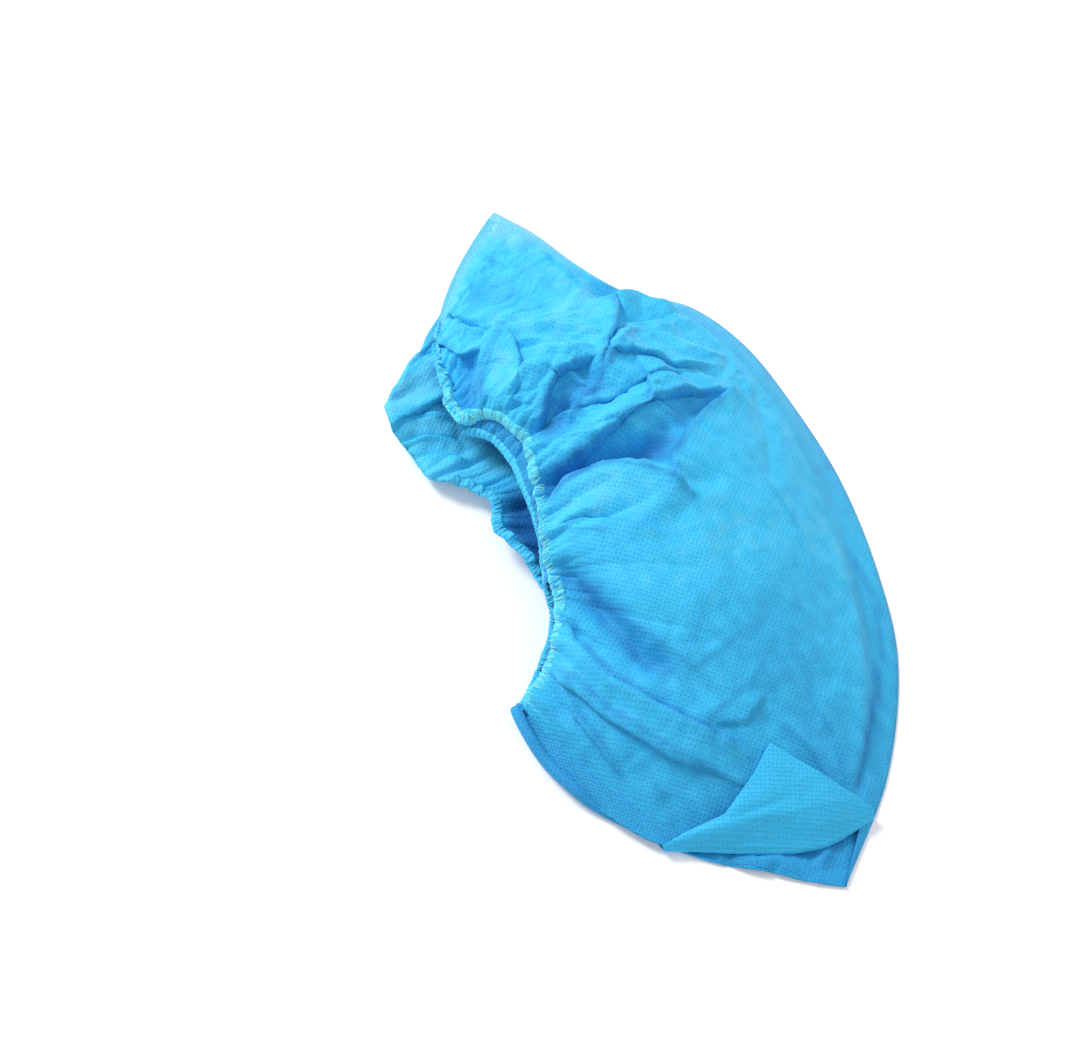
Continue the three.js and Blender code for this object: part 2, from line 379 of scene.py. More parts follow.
SECTIONS = Table(
    "soleX soleY midX midY crest underX underY lowMidX lowMidY tuck",
    [
        (21, -151, -41, -134, 4, 0, -171, -63, -117, 0),
        (33, -136, -27, -114, 15, 35, -139, -27, -114, 0),
        (57, -92, -5, -85, 27, 62, -99, -5, -85, 0),
        (69, -52, 6, -55, 35, 75, -59, 6, -55, 0),
        (78, -14, 12, -25, 38, 82, -16, 12, -25, 0),
        (81, 24, 14, 4, 37, 82, 24, 14, 4, 0),
        (76, 60, 14, 30, 35, 78, 60, 14, 30, 0),
        (65, 88, 11, 52, 32, 66, 88, 11, 52, 0),
        (45, 106, 1, 71, 27, 45, 106, 1, 71, 2),
        (32, 128, -10, 90, 21, 32, 128, -10, 90, 10),
        (22, 152, -19, 109, 13, 22, 152, -29, 108, 14),
        (11, 170.3, -21, 142, 4, 11, 170.3, -21, 140, 6),
    ],
)
NEAR_RIM = Table(
    "place x y z",
    [
        (0.0, -78, -56.6, 4), (0.045, -71, -55.3, 7.5), (0.09, -63, -50.5, 11.5), (0.136, -56.5, -43.7, 15),
        (0.182, -52.5, -37, 17.5), (0.25, -48.9, -27.5, 20), (0.36, -46.3, -13.5, 22), (0.41, -44, -6, 22.8),
        (0.4545, -41, 2.5, 23.2), (0.5, -38.8, 9, 23.5), (0.545, -36.9, 18, 23.5), (0.6, -33.9, 28.5, 23),
        (0.64, -32.3, 36, 22.4), (0.70, -33.6, 46, 21.3), (0.745, -36.6, 54.6, 19.8), (0.79, -43, 59.8, 18),
        (0.825, -49.3, 60.4, 16), (0.86, -50.6, 67, 14.5), (0.91, -49, 78, 12), (0.95, -45.7, 90, 9.5),
        (0.975, -41.5, 103, 7), (1.0, -36.8, 118, 4),
    ],
)
FAR_RIM = Table(
    "place x y lip",
    [
        (0.0, -80, -57.5, 0), (0.04, -71, -51, 1), (0.09, -63, -43, 2), (0.13, -57, -36.5, 3), (0.18, -52, -28, 4),
        (0.24, -50.8, -18, 5), (0.3, -51.5, -9, 6), (0.36, -52.8, 0, 7.5), (0.42, -55.8, 8.5, 8), (0.46, -58, 13, 8),
        (0.50, -57, 18, 7), (0.55, -54, 24, 5.5), (0.60, -53, 30, 4.5), (0.65, -59, 38.3, 3.5), (0.70, -67, 45, 3),
        (0.735, -71, 50, 3), (0.79, -72.5, 63, 4), (0.84, -75.5, 75, 5), (0.885, -74, 86, 5), (0.93, -64.5, 95.3, 4.5),
        (0.955, -57, 103, 3.5), (0.975, -49, 111, 2.5), (0.99, -42, 120, 1), (1.0, -37, 121, 0),
    ],
)
SOLE_EDGE = 3.0  # height of the upper layer where its puffed part starts
BODY_START = 0.03  # share of the way from sole to rim where the puffed part starts
LOWER_REST = 0.7  # height of the lower layer where it lies flat on the floor


class CoverForm:
    """The cover's two layers as smooth surfaces, before folds and gathers."""

    def upper(self, s: np.ndarray, v: np.ndarray) -> np.ndarray:
        """Upper layer: parabolas across each section, in plan and in height.

        Args:
            s: place from toe (0) to heel (1).
            v: place from the sole (0) to the rim (1).

        Returns:
            Points, millimetres.
        """
        t = SECTIONS
        x = parabola(t.along("soleX", s), t.along("midX", s), NEAR_RIM.along("x", s), v)
        y = parabola(t.along("soleY", s), t.along("midY", s), NEAR_RIM.along("y", s), v)
        z = parabola(SOLE_EDGE + 0 * s, t.along("crest", s), NEAR_RIM.along("z", s), v)
        return np.stack([x, y, np.maximum(z, SOLE_EDGE)], axis=-1)

    def lower(self, s: np.ndarray, v: np.ndarray) -> np.ndarray:
        """Lower layer: the same parabolas in plan, lying flat.

        Args:
            s: place from toe (0) to heel (1).
            v: place from the sole (0) to the rim (1).

        Returns:
            Points, millimetres.
        """
        t = SECTIONS
        x = parabola(t.along("underX", s), t.along("lowMidX", s), FAR_RIM.between("x", s), v)
        y = parabola(t.along("underY", s), t.along("lowMidY", s), FAR_RIM.between("y", s), v)
        return np.stack([x, y, 0 * x + LOWER_REST], axis=-1)


# ---- meshes ----


def placed(name: str, data: bpy.types.ID) -> bpy.types.Object:
    """Put data into the scene as a new object.

    Args:
        name: the object's name.
        data: its mesh, lamp or camera.

    Returns:
        The linked object.
    """
    piece = bpy.data.objects.new(name, data)
    bpy.context.scene.collection.objects.link(piece)
    return piece


def sheet_mesh(name: str, points: np.ndarray, uv: np.ndarray, tone: np.ndarray,
               loop_across: bool = False) -> bpy.types.Object:
    """A mesh object from a grid of points, one quad per cell.

    Args:
        name: the object's name.
        points: grid of points in millimetres, shape (rows, columns, 3); rows turned to columns is anticlockwise
            as seen from outside.
        uv: place on the flat cloth in metres, shape (rows, columns, 2).
        tone: the cloth's tone at each point, painted shade and painted light included: 0 darkest, 0.5 plain, 1 palest.
        loop_across: join the last column to the first.

    Returns:
        The linked object, smooth shaded.
    """
    rows, columns = points.shape[:2]
    index = np.arange(rows * columns).reshape(rows, columns)
    if loop_across:
        index = np.concatenate([index, index[:, :1]], axis=1)
    quads = np.stack([index[:-1, :-1], index[1:, :-1], index[1:, 1:], index[:-1, 1:]], axis=-1).reshape(-1, 4)
    mesh = bpy.data.meshes.new(name)
    mesh.vertices.add(rows * columns)
    mesh.vertices.foreach_set("co", (points * MM).astype(np.float32).ravel())
    mesh.loops.add(quads.size)
    mesh.loops.foreach_set("vertex_index", quads.astype(np.int32).ravel())
    mesh.polygons.add(len(quads))
    mesh.polygons.foreach_set("loop_start", np.arange(0, quads.size, 4, dtype=np.int32))
    mesh.polygons.foreach_set("loop_total", np.full(len(quads), 4, dtype=np.int32))
    mesh.update(calc_edges=True)
    mesh.polygons.foreach_set("use_smooth", np.ones(len(quads), dtype=bool))
    layer = mesh.uv_layers.new(name="cloth")
    layer.data.foreach_set("uv", uv.reshape(-1, 2)[quads.ravel()].astype(np.float32).ravel())
    shade = mesh.attributes.new("tone", "FLOAT", "POINT")
    shade.data.foreach_set("value", tone.ravel().astype(np.float32))
    mesh.validate()
    return placed(name, mesh)


def thicken(piece: bpy.types.Object, thickness: float = CLOTH_THICKNESS) -> None:
    """Give a sheet its thickness, half on each side, with closed edges.

    Args:
        piece: the sheet's object.
        thickness: in millimetres.
    """
    wall = piece.modifiers.new("thickness", "SOLIDIFY")
    wall.thickness = thickness * MM
    wall.offset = 0.0
    wall.use_rim = True


def band_points(path: np.ndarray, inward: np.ndarray, up: np.ndarray, half_width: np.ndarray,
                half_height: np.ndarray, sides: int) -> np.ndarray:
    """A flat rounded band along a path.

    Each section is a superellipse of power 2.6 in the plane of `inward` and `up`.

    Args:
        path: centre of each section, shape (n, 3).
        inward: unit vector of each section's width.
        up: unit vector of each section's thickness.
        half_width: half the width of each section.
        half_height: half the thickness of each section.
        sides: points round a section.

    Returns:
        Points of shape (n, sides, 3).
    """
    turn = np.linspace(0, math.tau, sides, endpoint=False)
    power = 2 / 2.6
    across = np.sign(np.cos(turn)) * np.abs(np.cos(turn)) ** power
    above = np.sign(np.sin(turn)) * np.abs(np.sin(turn)) ** power
    return (path[:, None, :] + inward[:, None, :] * (half_width[:, None] * across)[..., None]
            + up[:, None, :] * (half_height[:, None] * above)[..., None])


# ---- finishes ----


def add_node(tree: bpy.types.NodeTree, kind: str, inputs: dict[str | int, object] | None = None,
             **settings: object) -> bpy.types.Node:
    """Add a shader node to a material.

    Args:
        tree: the material's nodes.
        kind: the node's type, without its prefix.
        inputs: for each input, its value or the socket that feeds it.
        settings: the node's own settings.

    Returns:
        The node.
    """
    node = tree.nodes.new("ShaderNode" + kind)
    for name, value in settings.items():
        setattr(node, name, value)
    for name, value in (inputs or {}).items():
        if isinstance(value, bpy.types.NodeSocket):
            tree.links.new(value, node.inputs[name])
        else:
            node.inputs[name].default_value = value
    return node


def new_material(name: str) -> tuple[bpy.types.Material, bpy.types.NodeTree, bpy.types.NodeSocket]:
    """Start a material that has no nodes but its output.

    Args:
        name: the material's name.

    Returns:
        The material, its nodes, and its output's surface socket.
    """
    material = bpy.data.materials.new(name)
    material.use_nodes = True
    material.node_tree.nodes.clear()
    return material, material.node_tree, add_node(material.node_tree, "OutputMaterial").inputs[0]


@dataclass(frozen=True)
class Nonwoven:
    """Point-bonded nonwoven cloth: blue fibres with a fine diamond grid of bond dots and a soft sheen.

    Sizes are millimetres; the scales of the noises are cells per metre.
    """

    name: str
    painted_shade_colour: tuple[float, float, float]
    base: tuple[float, float, float]
    pale: tuple[float, float, float]
    dot_pitch: float = 1.55
    dot_depth: float = 0.22
    dot_edge: tuple[float, float] = (0.16, 0.36)
    dot_randomness: float = 0.3
    dot_tint: float = 0.10
    fibre_scale: float = 1400
    fibre_depth: float = 0.18
    fibre_tint: float = 0.30
    mottle_scale: float = 75
    mottle_tint: float = 0.05
    wrinkle_scale: float = 170
    crinkle: float = 0.3
    darkest: float = 0.78
    bump: float = 0.8
    bump_height: float = 0.8
    roughness: float = 0.6
    sheen: float = 0.08
    scatter: float = 0.12

    def make(self) -> bpy.types.Material:
        """Build the material's nodes.

        Returns:
            The material.
        """
        material, tree, surface = new_material(self.name)
        place = add_node(tree, "TexCoord").outputs["Object"]
        flat = add_node(tree, "UVMap", uv_map="cloth")
        # bond dots: cells of a regular grid turned by 45 degrees
        grid = add_node(tree, "Mapping", {"Vector": flat.outputs[0], "Rotation": (0, 0, math.radians(45)),
                                          "Scale": (1 / (self.dot_pitch * MM),) * 3})
        cell = add_node(tree, "TexVoronoi", {"Vector": grid.outputs[0], "Randomness": self.dot_randomness,
                                             "Scale": 1.0}, voronoi_dimensions="2D")
        dot = add_node(tree, "MapRange", {"Value": cell.outputs["Distance"], "From Min": self.dot_edge[0],
                                          "From Max": self.dot_edge[1]}, interpolation_type="SMOOTHSTEP").outputs[0]
        fibres = self.noise(tree, place, self.fibre_scale, 4)
        mottle = self.noise(tree, place, self.mottle_scale, 3)
        wrinkle = self.noise(tree, place, self.wrinkle_scale, 5)

        # The colour follows the tone attribute, which carries painted shade and painted light as well as the cloth's
        # random tone.
        shade = add_node(tree, "Attribute", attribute_name="tone")
        colour = add_node(tree, "ValToRGB", {"Fac": shade.outputs["Fac"]})
        stops = colour.color_ramp.elements
        stops[0].color, stops[1].color = (*self.painted_shade_colour, 1), (*self.pale, 1)
        stops.new(0.5).color = (*self.base, 1)
        tints = [(dot, self.dot_tint), (fibres, self.fibre_tint), (mottle, self.mottle_tint)]
        tinted = add_node(tree, "Mix", {"Factor": 1.0, "A": colour.outputs["Color"],
                                        "B": self.combine(tree, tints, self.darkest)},
                          data_type="RGBA", blend_type="MULTIPLY")
        depths = [(dot, self.dot_depth), (fibres, self.fibre_depth), (wrinkle, self.crinkle)]
        bump = add_node(tree, "Bump", {"Strength": self.bump, "Distance": self.bump_height * MM,
                                       "Height": self.combine(tree, depths, 0)})
        cloth = add_node(tree, "BsdfPrincipled", {
            "Base Color": tinted.outputs["Result"], "Normal": bump.outputs[0], "Roughness": self.roughness,
            "Specular IOR Level": 0.25, "Sheen Weight": self.sheen, "Sheen Roughness": 0.5,
            "Subsurface Weight": self.scatter, "Subsurface Radius": (0.0006, 0.0012, 0.0018),
            "Subsurface Scale": 1.0})
        tree.links.new(cloth.outputs[0], surface)
        return material

    @staticmethod
    def noise(tree: bpy.types.NodeTree, place: bpy.types.NodeSocket, scale: float,
              detail: float) -> bpy.types.NodeSocket:
        """Noise on the object's own coordinates; returns its value socket."""
        return add_node(tree, "TexNoise", {"Vector": place, "Scale": scale, "Detail": detail}).outputs["Fac"]

    @staticmethod
    def combine(tree: bpy.types.NodeTree, parts: list[tuple[bpy.types.NodeSocket, float]],
                start: float) -> bpy.types.NodeSocket:
        """Sum of start and each part times its weight.

        Args:
            tree: the material's nodes.
            parts: sockets and their weights.
            start: the sum's first term.

        Returns:
            The sum's socket.
        """
        total: float | bpy.types.NodeSocket = start
        for socket, weight in parts:
            total = add_node(tree, "Math", {0: socket, 1: weight, 2: total}, operation="MULTIPLY_ADD").outputs[0]
        return total


@dataclass(frozen=True)
class Thread:
    """Fine spun polyester thread."""

    name: str
    colour: tuple[float, float, float]
    twist_scale: float = 2600
    shade: float = 0.8
    bump: float = 0.55
    bump_height: float = 0.2

    def make(self) -> bpy.types.Material:
        """Build the thread's nodes: a pale colour with a fine twist in the bump.

        Returns:
            The material.
        """
        material, tree, surface = new_material(self.name)
        place = add_node(tree, "TexCoord").outputs["Object"]
        fuzz = add_node(tree, "TexNoise", {"Vector": place, "Scale": self.twist_scale}).outputs["Fac"]
        tint = add_node(tree, "Mix", {"A": (*(c * self.shade for c in self.colour), 1), "B": (*self.colour, 1),
                                      "Factor": fuzz}, data_type="RGBA")
        bump = add_node(tree, "Bump", {"Distance": self.bump_height * MM, "Strength": self.bump, "Height": fuzz})
        thread = add_node(tree, "BsdfPrincipled", {"Base Color": tint.outputs["Result"], "Normal": bump.outputs[0],
                                                   "Roughness": 0.6, "Sheen Weight": 0.3})
        tree.links.new(thread.outputs[0], surface)
        return material


# The cloth's colours along its tone: the darkest, which painted shade moves the tone towards; the plain blue; and the
# palest, which painted light moves it towards.
PAINTED_SHADE_BLUE, BLUE, PALE = (0.003, 0.11, 0.42), (0.039, 0.53, 0.92), (0.28, 0.63, 0.72)
CLOTH = Nonwoven("nonwoven_blue", PAINTED_SHADE_BLUE, BLUE, PALE)
HEM_CLOTH = Nonwoven("nonwoven_hem", PAINTED_SHADE_BLUE, BLUE, (0.12, 0.70, 0.88), crinkle=0.4)
SEAM_CLOTH = Nonwoven("nonwoven_seam", PAINTED_SHADE_BLUE, BLUE, PALE, dot_pitch=1.2, dot_depth=0.7)
CREAM_THREAD = Thread("cream_thread", (0.24, 0.80, 0.86))
BLUE_THREAD = Thread("pale_blue_thread", (0.09, 0.66, 0.92))


def dress(piece: bpy.types.Object, finish: bpy.types.Material) -> None:
    """Put a finish on a piece and let it ride on the cover's body.

    Args:
        piece: the piece's object.
        finish: its material.
    """
    piece.data.materials.clear()
    piece.data.materials.append(finish)
    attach(piece, BODY)


# ---- the cover's pieces ----

UPPER_FOLDS = (
    # the long pleat that runs from the rim to the toe, a raised band between two sharp edges
    Fold(LEDGE, 5.2, 9, ((-10, -118), (-22, -106), (-36, -87), (-46, -70), (-51, -50), (-48, -26))),
    Fold(LEDGE, 3.6, 12, ((-63, -52), (-56, -67), (-51, -81), (-37, -105), (-14, -130))),
    Fold(RIDGE, -6.5, 5, ((-46, -17), (-41, -31), (-38, -48), (-33, -66), (-24, -86))),
    Fold(LEDGE, 2.4, 7, ((-60, -55), (-61, -74), (-58, -88), (-55, -108))),
    Fold(CREASE, 0.9, 3, ((-48, -97), (-47, -109), (-45, -118))),
    # where the puffed part steps up from the flat margin at the sole
    Fold(LEDGE, 3.6, 16, ((16, -144), (34, -122), (47, -107), (58, -91), (66, -72), (66, -55), (66, -34))),
    Fold(CREASE, 1.6, 4, ((4, -108), (10, -122), (12, -140))),
    Fold(CREASE, 1.2, 4, ((18, -104), (22, -120), (18, -140))),
    Fold(LEDGE, 1.6, 8, ((-20, -101), (-9, -105), (4, -98))),
    # heel panel and the folds beside the rim
    Fold(LEDGE, 2.6, 6, ((-34, 124), (-22, 109), (-14, 93))),
    Fold(CREASE, 1.6, 2.5, ((-30, 116), (-24, 104), (-18, 90))),
    Fold(LEDGE, 2.8, 7, ((-38, 118), (-37, 103), (-34, 93), (-21, 84))),
    Fold(LEDGE, 5.0, 10, ((-12, 101), (-17, 94), (-29, 81), (-38, 68), (-42, 54))),
    Fold(LEDGE, 2.6, 12, ((-34, 50), (-24, 63), (-19, 73), (-16, 86), (-15, 99))),
    Fold(RIDGE, -6.0, 6, ((-32, 92), (-42, 76), (-46, 62))),
    Fold(LEDGE, 4.6, 14, ((3, 47), (14, 64), (22, 74), (28, 85), (34, 106))),
    Fold(RIDGE, 3.0, 9, ((44, 98), (30, 90), (25, 80), (19, 68))),
    Fold(LEDGE, 5.2, 10, ((-28, 38), (-18, 52), (-11, 59), (-2, 60), (15, 58))),
    Fold(RIDGE, -7.0, 8, ((8, 48), (-6, 48), (-16, 42), (-30, 30))),
    Fold(CREASE, 4.6, 4, ((6, 48), (15, 57), (24, 65), (33, 72))),
    Fold(CREASE, 2.6, 3, ((-18, 34), (-6, 44), (8, 52), (14, 60))),
    Fold(LEDGE, 3.6, 9, ((8, 57), (21, 56), (36, 46), (58, 45))),
    Fold(CREASE, 1.8, 3, ((17, 54), (45, 50), (67, 52))),
    Fold(LEDGE, 2.2, 8, ((22, 54), (22, 42), (17, 30), (2, 24), (-17, 25))),
    Fold(LEDGE, 5.4, 9, ((-34, 19), (-20, 20), (-3, 23), (17, 30), (37, 32), (60, 30))),
    Fold(LEDGE, 3.4, 10, ((-12, 40), (4, 40), (22, 42), (44, 43))),
    Fold(LEDGE, 5.0, 12, ((60, 32), (51, 27), (38, 20), (24, 9), (13, 0), (6, -12))),
    Fold(RIDGE, -10.0, 7, ((-43, 12), (-28, 14), (-13, 14), (0, 11), (9, 8), (24, 7))),
    Fold(RIDGE, -4.0, 6, ((8, 12), (22, 18), (36, 26), (50, 31))),
    # pillow folds below the dark valley
    Fold(LEDGE, 7.0, 11, ((10, -23), (6, -13), (-2, -3), (-12, 5), (-23, 8), (-31, 7), (-40, 3))),
    Fold(LEDGE, 3.0, 7, ((-4, -33), (-19, -19), (-29, -11), (-43, -6))),
    Fold(CREASE, 2.0, 3, ((-48, -8), (-37, -9), (-21, -22))),
    Fold(CREASE, 2.4, 6, ((14, -2), (6, -14), (-8, -26))),
    # faint long creases over the crown
    Fold(CREASE, 1.4, 6, ((-32, -102), (-2, -93), (10, -86))),
    Fold(CREASE, 1.5, 7, ((-42, -20), (-33, -50), (-12, -92))),
    Fold(CREASE, 1.3, 6, ((16, -46), (-6, -61), (-22, -82))),
    Fold(CREASE, 1.3, 6, ((45, -14), (48, -40), (40, -70))),
    Fold(CREASE, 1.8, 6, ((14, 154), (27, 110))),
    Fold(RIDGE, -3.4, 9, ((-18, 133), (-2, 114), (8, 98))),
    Fold(CREASE, 1.5, 4, ((-8, 150), (6, 131), (17, 104))),
    Fold(RIDGE, 5.4, 6, ((28, 90), (43, 92), (58, 78))),
    Fold(RIDGE, -4.0, 6, ((40, 112), (34, 104), (28, 92))),
)
UPPER_CREASES = (
    Creases(90, (5, -25), (40, 65), (25, 80), (5, 14), 0.55, 11),
    Creases(170, (-4, 50), (24, 26), (10, 36), (2.0, 6), 1.9, 12, heading=2.7, turn=0.9),
    Creases(60, (20, -120), (22, 18), (10, 30), (2.5, 7), 0.5, 13),
    Creases(60, (-20, -100), (24, 22), (10, 34), (2.5, 7), 0.6, 14),
    Creases(70, (-15, 120), (22, 20), (12, 40), (3, 8), 0.9, 15),
)
NEAR_GATHERS = (
    Gathers(3.1, 1.3, 8, 20),
    Gathers(5.2, 2.4, 16, 21),
    Gathers(10.5, 3.4, 34, 22),
    Gathers(23.0, 3.0, 46, 23),
)


@dataclass(frozen=True)
class Buckling:
    """A short cloth simulation in which the cloth grows a little and buckles into natural wrinkles.

    Every point is tied to its place by a spring, stiff where the cloth is held and weak where it is free.
    """

    growth: float
    bending: float = 0.05
    frames: int = 10
    levels: int = 1000
    pull: float = 30.0
    damping: float = 10.0

    def run(self, piece: bpy.types.Object, points: np.ndarray, free: np.ndarray, share: np.ndarray,
            floor: float) -> np.ndarray:
        """Simulate a piece and keep the result in its mesh.

        Args:
            piece: the cloth's object.
            points: its points, millimetres.
            free: how freely each point moves, from 0 to 1.
            share: how much of the simulated move each point keeps.
            floor: height below which no point sinks.

        Returns:
            The new points, millimetres.
        """
        moved = self.simulated(piece, 1 - free).reshape(points.shape)
        result = points + (moved - points) * share[..., None]
        result[..., 2] = np.maximum(result[..., 2], np.minimum(points[..., 2], floor))
        piece.data.vertices.foreach_set("co", (result * MM).astype(np.float32).ravel())
        piece.data.update()
        return result

    def simulated(self, piece: bpy.types.Object, held: np.ndarray) -> np.ndarray:
        """Run the simulation and take it off the piece again.

        Args:
            piece: the cloth's object.
            held: how firmly each point is held, from 0 to 1.

        Returns:
            The points where the simulation left them, millimetres.
        """
        scene = bpy.context.scene
        group = piece.vertex_groups.new(name="held")
        level = np.round(np.clip(held.ravel(), 0, 1) * self.levels).astype(int)
        for step in np.unique(level[level > 0]).tolist():
            group.add(np.flatnonzero(level == step).tolist(), step / self.levels, "REPLACE")
        cloth = piece.modifiers.new("buckling", "CLOTH")
        settings = cloth.settings
        settings.quality = 4
        settings.mass = 0.05
        settings.tension_stiffness = settings.compression_stiffness = self.pull
        settings.shear_stiffness = 10
        settings.bending_stiffness = self.bending
        settings.tension_damping = settings.compression_damping = settings.shear_damping = self.damping
        settings.air_damping = 5
        settings.shrink_min = -self.growth
        settings.vertex_group_mass = "held"
        settings.pin_stiffness = 4
        settings.effector_weights.gravity = 0
        cloth.collision_settings.use_collision = False
        cloth.point_cache.frame_start, cloth.point_cache.frame_end = 1, self.frames
        for number in range(1, self.frames + 1):
            scene.frame_set(number)
        shaped = piece.evaluated_get(bpy.context.evaluated_depsgraph_get()).to_mesh()
        places = np.empty(len(piece.data.vertices) * 3, np.float32)
        shaped.vertices.foreach_get("co", places)
        piece.modifiers.remove(cloth)
        piece.vertex_groups.remove(group)
        scene.frame_set(1)
        return places.reshape(-1, 3).astype(float) / MM


@dataclass
class UpperLayer:
    """The puffed near layer of the cover, from its wrap under the sole fold to the near rim."""

    form: CoverForm
    steps_along: int = 330
    steps_across: int = 140
    wrap: float = 8.0
    margin_share: float = 0.075
    lowest: float = 1.8
    heel_height: float = 2.1
    growth: float = 0.04
    points: np.ndarray = field(init=False)
    smooth: np.ndarray = field(init=False)

    def shape(self) -> np.ndarray:
        """Points of the layer: wrap under the sole, flat margin, then the puffed part with its folds.

        The folds and gathers lift the cloth along its normal and fade out at the margin and both ends. The heel end
        is drawn down to the lower layer.

        Returns:
            Grid of points, shape (steps along, steps across, 3).
        """
        s = np.linspace(0, 1, self.steps_along)[:, None]
        q = np.linspace(0, 1, self.steps_across)[None, :]
        v = BODY_START + (1 - BODY_START) * np.clip((q - self.margin_share) / (1 - self.margin_share), 0, 1)
        puffed = self.form.upper(s, v)
        normal = normals_of(puffed)
        normal *= np.sign(normal[..., 2:3])
        away, along = rim_distances(puffed)
        x, y = puffed[..., 0], puffed[..., 1]
        moves = sum(f.shift(x, y) for f in UPPER_FOLDS)
        small = sum(c.lift(x, y) for c in UPPER_CREASES) + 0.3 * ripple(x, y, 46, 5) + 0.12 * ripple(x, y, 17, 6)
        ends = smooth(s, 0.0, 0.05) * (1 - smooth(s, 0.96, 1.0))
        share = smooth(v, BODY_START, 0.09) * (0.2 + 0.8 * ends) * smooth(away, -1, 5)
        gathered = sum(g.lift(along + 0 * away, away) for g in NEAR_GATHERS)
        lift = (moves[..., 2] + small) * share + gathered * (0.2 + 0.8 * ends)
        points = puffed + normal * lift[..., None]
        points[..., :2] += moves[..., :2] * share[..., None]
        closed = smooth(s, 0.972, 0.997) * (1 - smooth(v, 0.82, 0.96))
        points[..., 2] = np.maximum(points[..., 2] * (1 - closed) + self.heel_height * closed, self.lowest)
        self.smooth = self.with_margin(puffed, s, q)
        self.points = self.with_margin(points, s, q)
        return self.points

    def with_margin(self, points: np.ndarray, s: np.ndarray, q: np.ndarray) -> np.ndarray:
        """Replace the first columns by the flat margin and the wrap under the sole fold.

        The margin runs in straight lines through five points of each section: under the lower layer, just inside the
        fold, at the fold, just inside it above, and the start of the puffed part.

        Args:
            points: grid of points, changed in place.
            s: place of each row from toe (0) to heel (1).
            q: place of each column from the wrap (0) to the rim (1).

        Returns:
            The same grid.
        """
        edge = np.concatenate([SECTIONS.along("underX", s), SECTIONS.along("underY", s)], axis=1)
        first = int(np.argmax(q[0] > self.margin_share)) - 1
        start = points[:, first]
        inward = unit(start[:, :2] - edge)

        def station(distance: float, height: float) -> np.ndarray:
            """Points of the sections at a distance in from the fold and at a height."""
            return np.concatenate([edge + inward * distance, np.full((len(edge), 1), height)], axis=1)

        stations = [station(self.wrap, 0.25), station(0.5, 0.25), station(0.0, 0.7), station(0.8, 1.3), start]
        places = np.array([0.0, 0.42, 0.5, 0.58, 1.0])
        for column, f in enumerate(np.linspace(0, 1, first + 1)):
            i = min(int(np.searchsorted(places, f, side="right")) - 1, 3)
            g = (f - places[i]) / (places[i + 1] - places[i])
            points[:, column] = stations[i] * (1 - g) + stations[i + 1] * g
        return points

    def looseness(self) -> tuple[np.ndarray, np.ndarray]:
        """How the simulation treats each point: little of its move is kept over the smooth crown.

        Returns:
            How freely each point moves, and how much of its move it keeps, both from 0 to 1.
        """
        rows, columns = self.points.shape[:2]
        i = np.linspace(0, 1, rows)[:, None]
        j = np.linspace(0, 1, columns)[None, :]
        x, y = self.points[..., 0], self.points[..., 1]
        free = smooth(i, 0.01, 0.04) * (1 - smooth(i, 0.96, 0.99))
        free = free * smooth(j, 0.09, 0.15) * (1 - smooth(j, 0.955, 0.985))
        folds = smooth(y, 10, 36)
        crown = np.exp(-(((x - 14) / 46) ** 2 + ((y + 38) / 62) ** 2) ** 2)
        leaf = np.exp(-(((x + 29) / 12) ** 2 + ((y - 72) / 18) ** 2) ** 2)
        return free * (0.93 + 0.05 * folds), 0.32 + 0.6 * np.maximum(folds, 0) * (1 - 0.6 * leaf) - 0.14 * crown

    def tone(self) -> np.ndarray:
        """Tone of the cloth: painted light at the heel end and on the leaf-shaped facet, paler and darker in random
        patches, and painted shade in the folds, over the toe end and along the flat margin.

        Returns:
            Tone of each point, from 0 to 1.
        """
        x, y = self.points[..., 0], self.points[..., 1]
        # painted light: a little paler over the heel end, much paler at its corner by the sole
        heel = 0.03 * smooth(y, 70, 140) + 0.34 * smooth(x + y, 145, 176) * smooth(y, 80, 120)
        # painted highlight on the lit leaf-shaped facet
        leaf = 0.09 * np.exp(-(((x + 29) / 8) ** 2 + ((y - 74) / 16) ** 2) ** 3)
        # painted shade over the toe end, less towards the sole
        toe = 0.13 * smooth(-y, 40, 100) * (1 - 0.6 * smooth(x, 10, 40))
        # shade sums the folds' painted shade and the painted shade over the toe end
        shade = sum(f.shade(x, y) for f in UPPER_FOLDS) + toe
        # painted shade along the flat margin by the sole fold
        shade[:, :int(1.6 * self.margin_share * self.steps_across)] += 0.08
        return np.clip(0.5 + heel + leaf + 0.035 * ripple(x, y, 70, 8) + 0.03 * ripple(x, y, 9, 9) - shade, 0, 1)

    def build(self) -> bpy.types.Object:
        """Make the mesh of the layer.

        Returns:
            The upper layer's object.
        """
        points = self.shape()
        piece = sheet_mesh("upper_layer", points, flat_places(self.smooth), self.tone())
        self.points = Buckling(self.growth).run(piece, points, *self.looseness(), self.lowest)
        thicken(piece)
        return piece


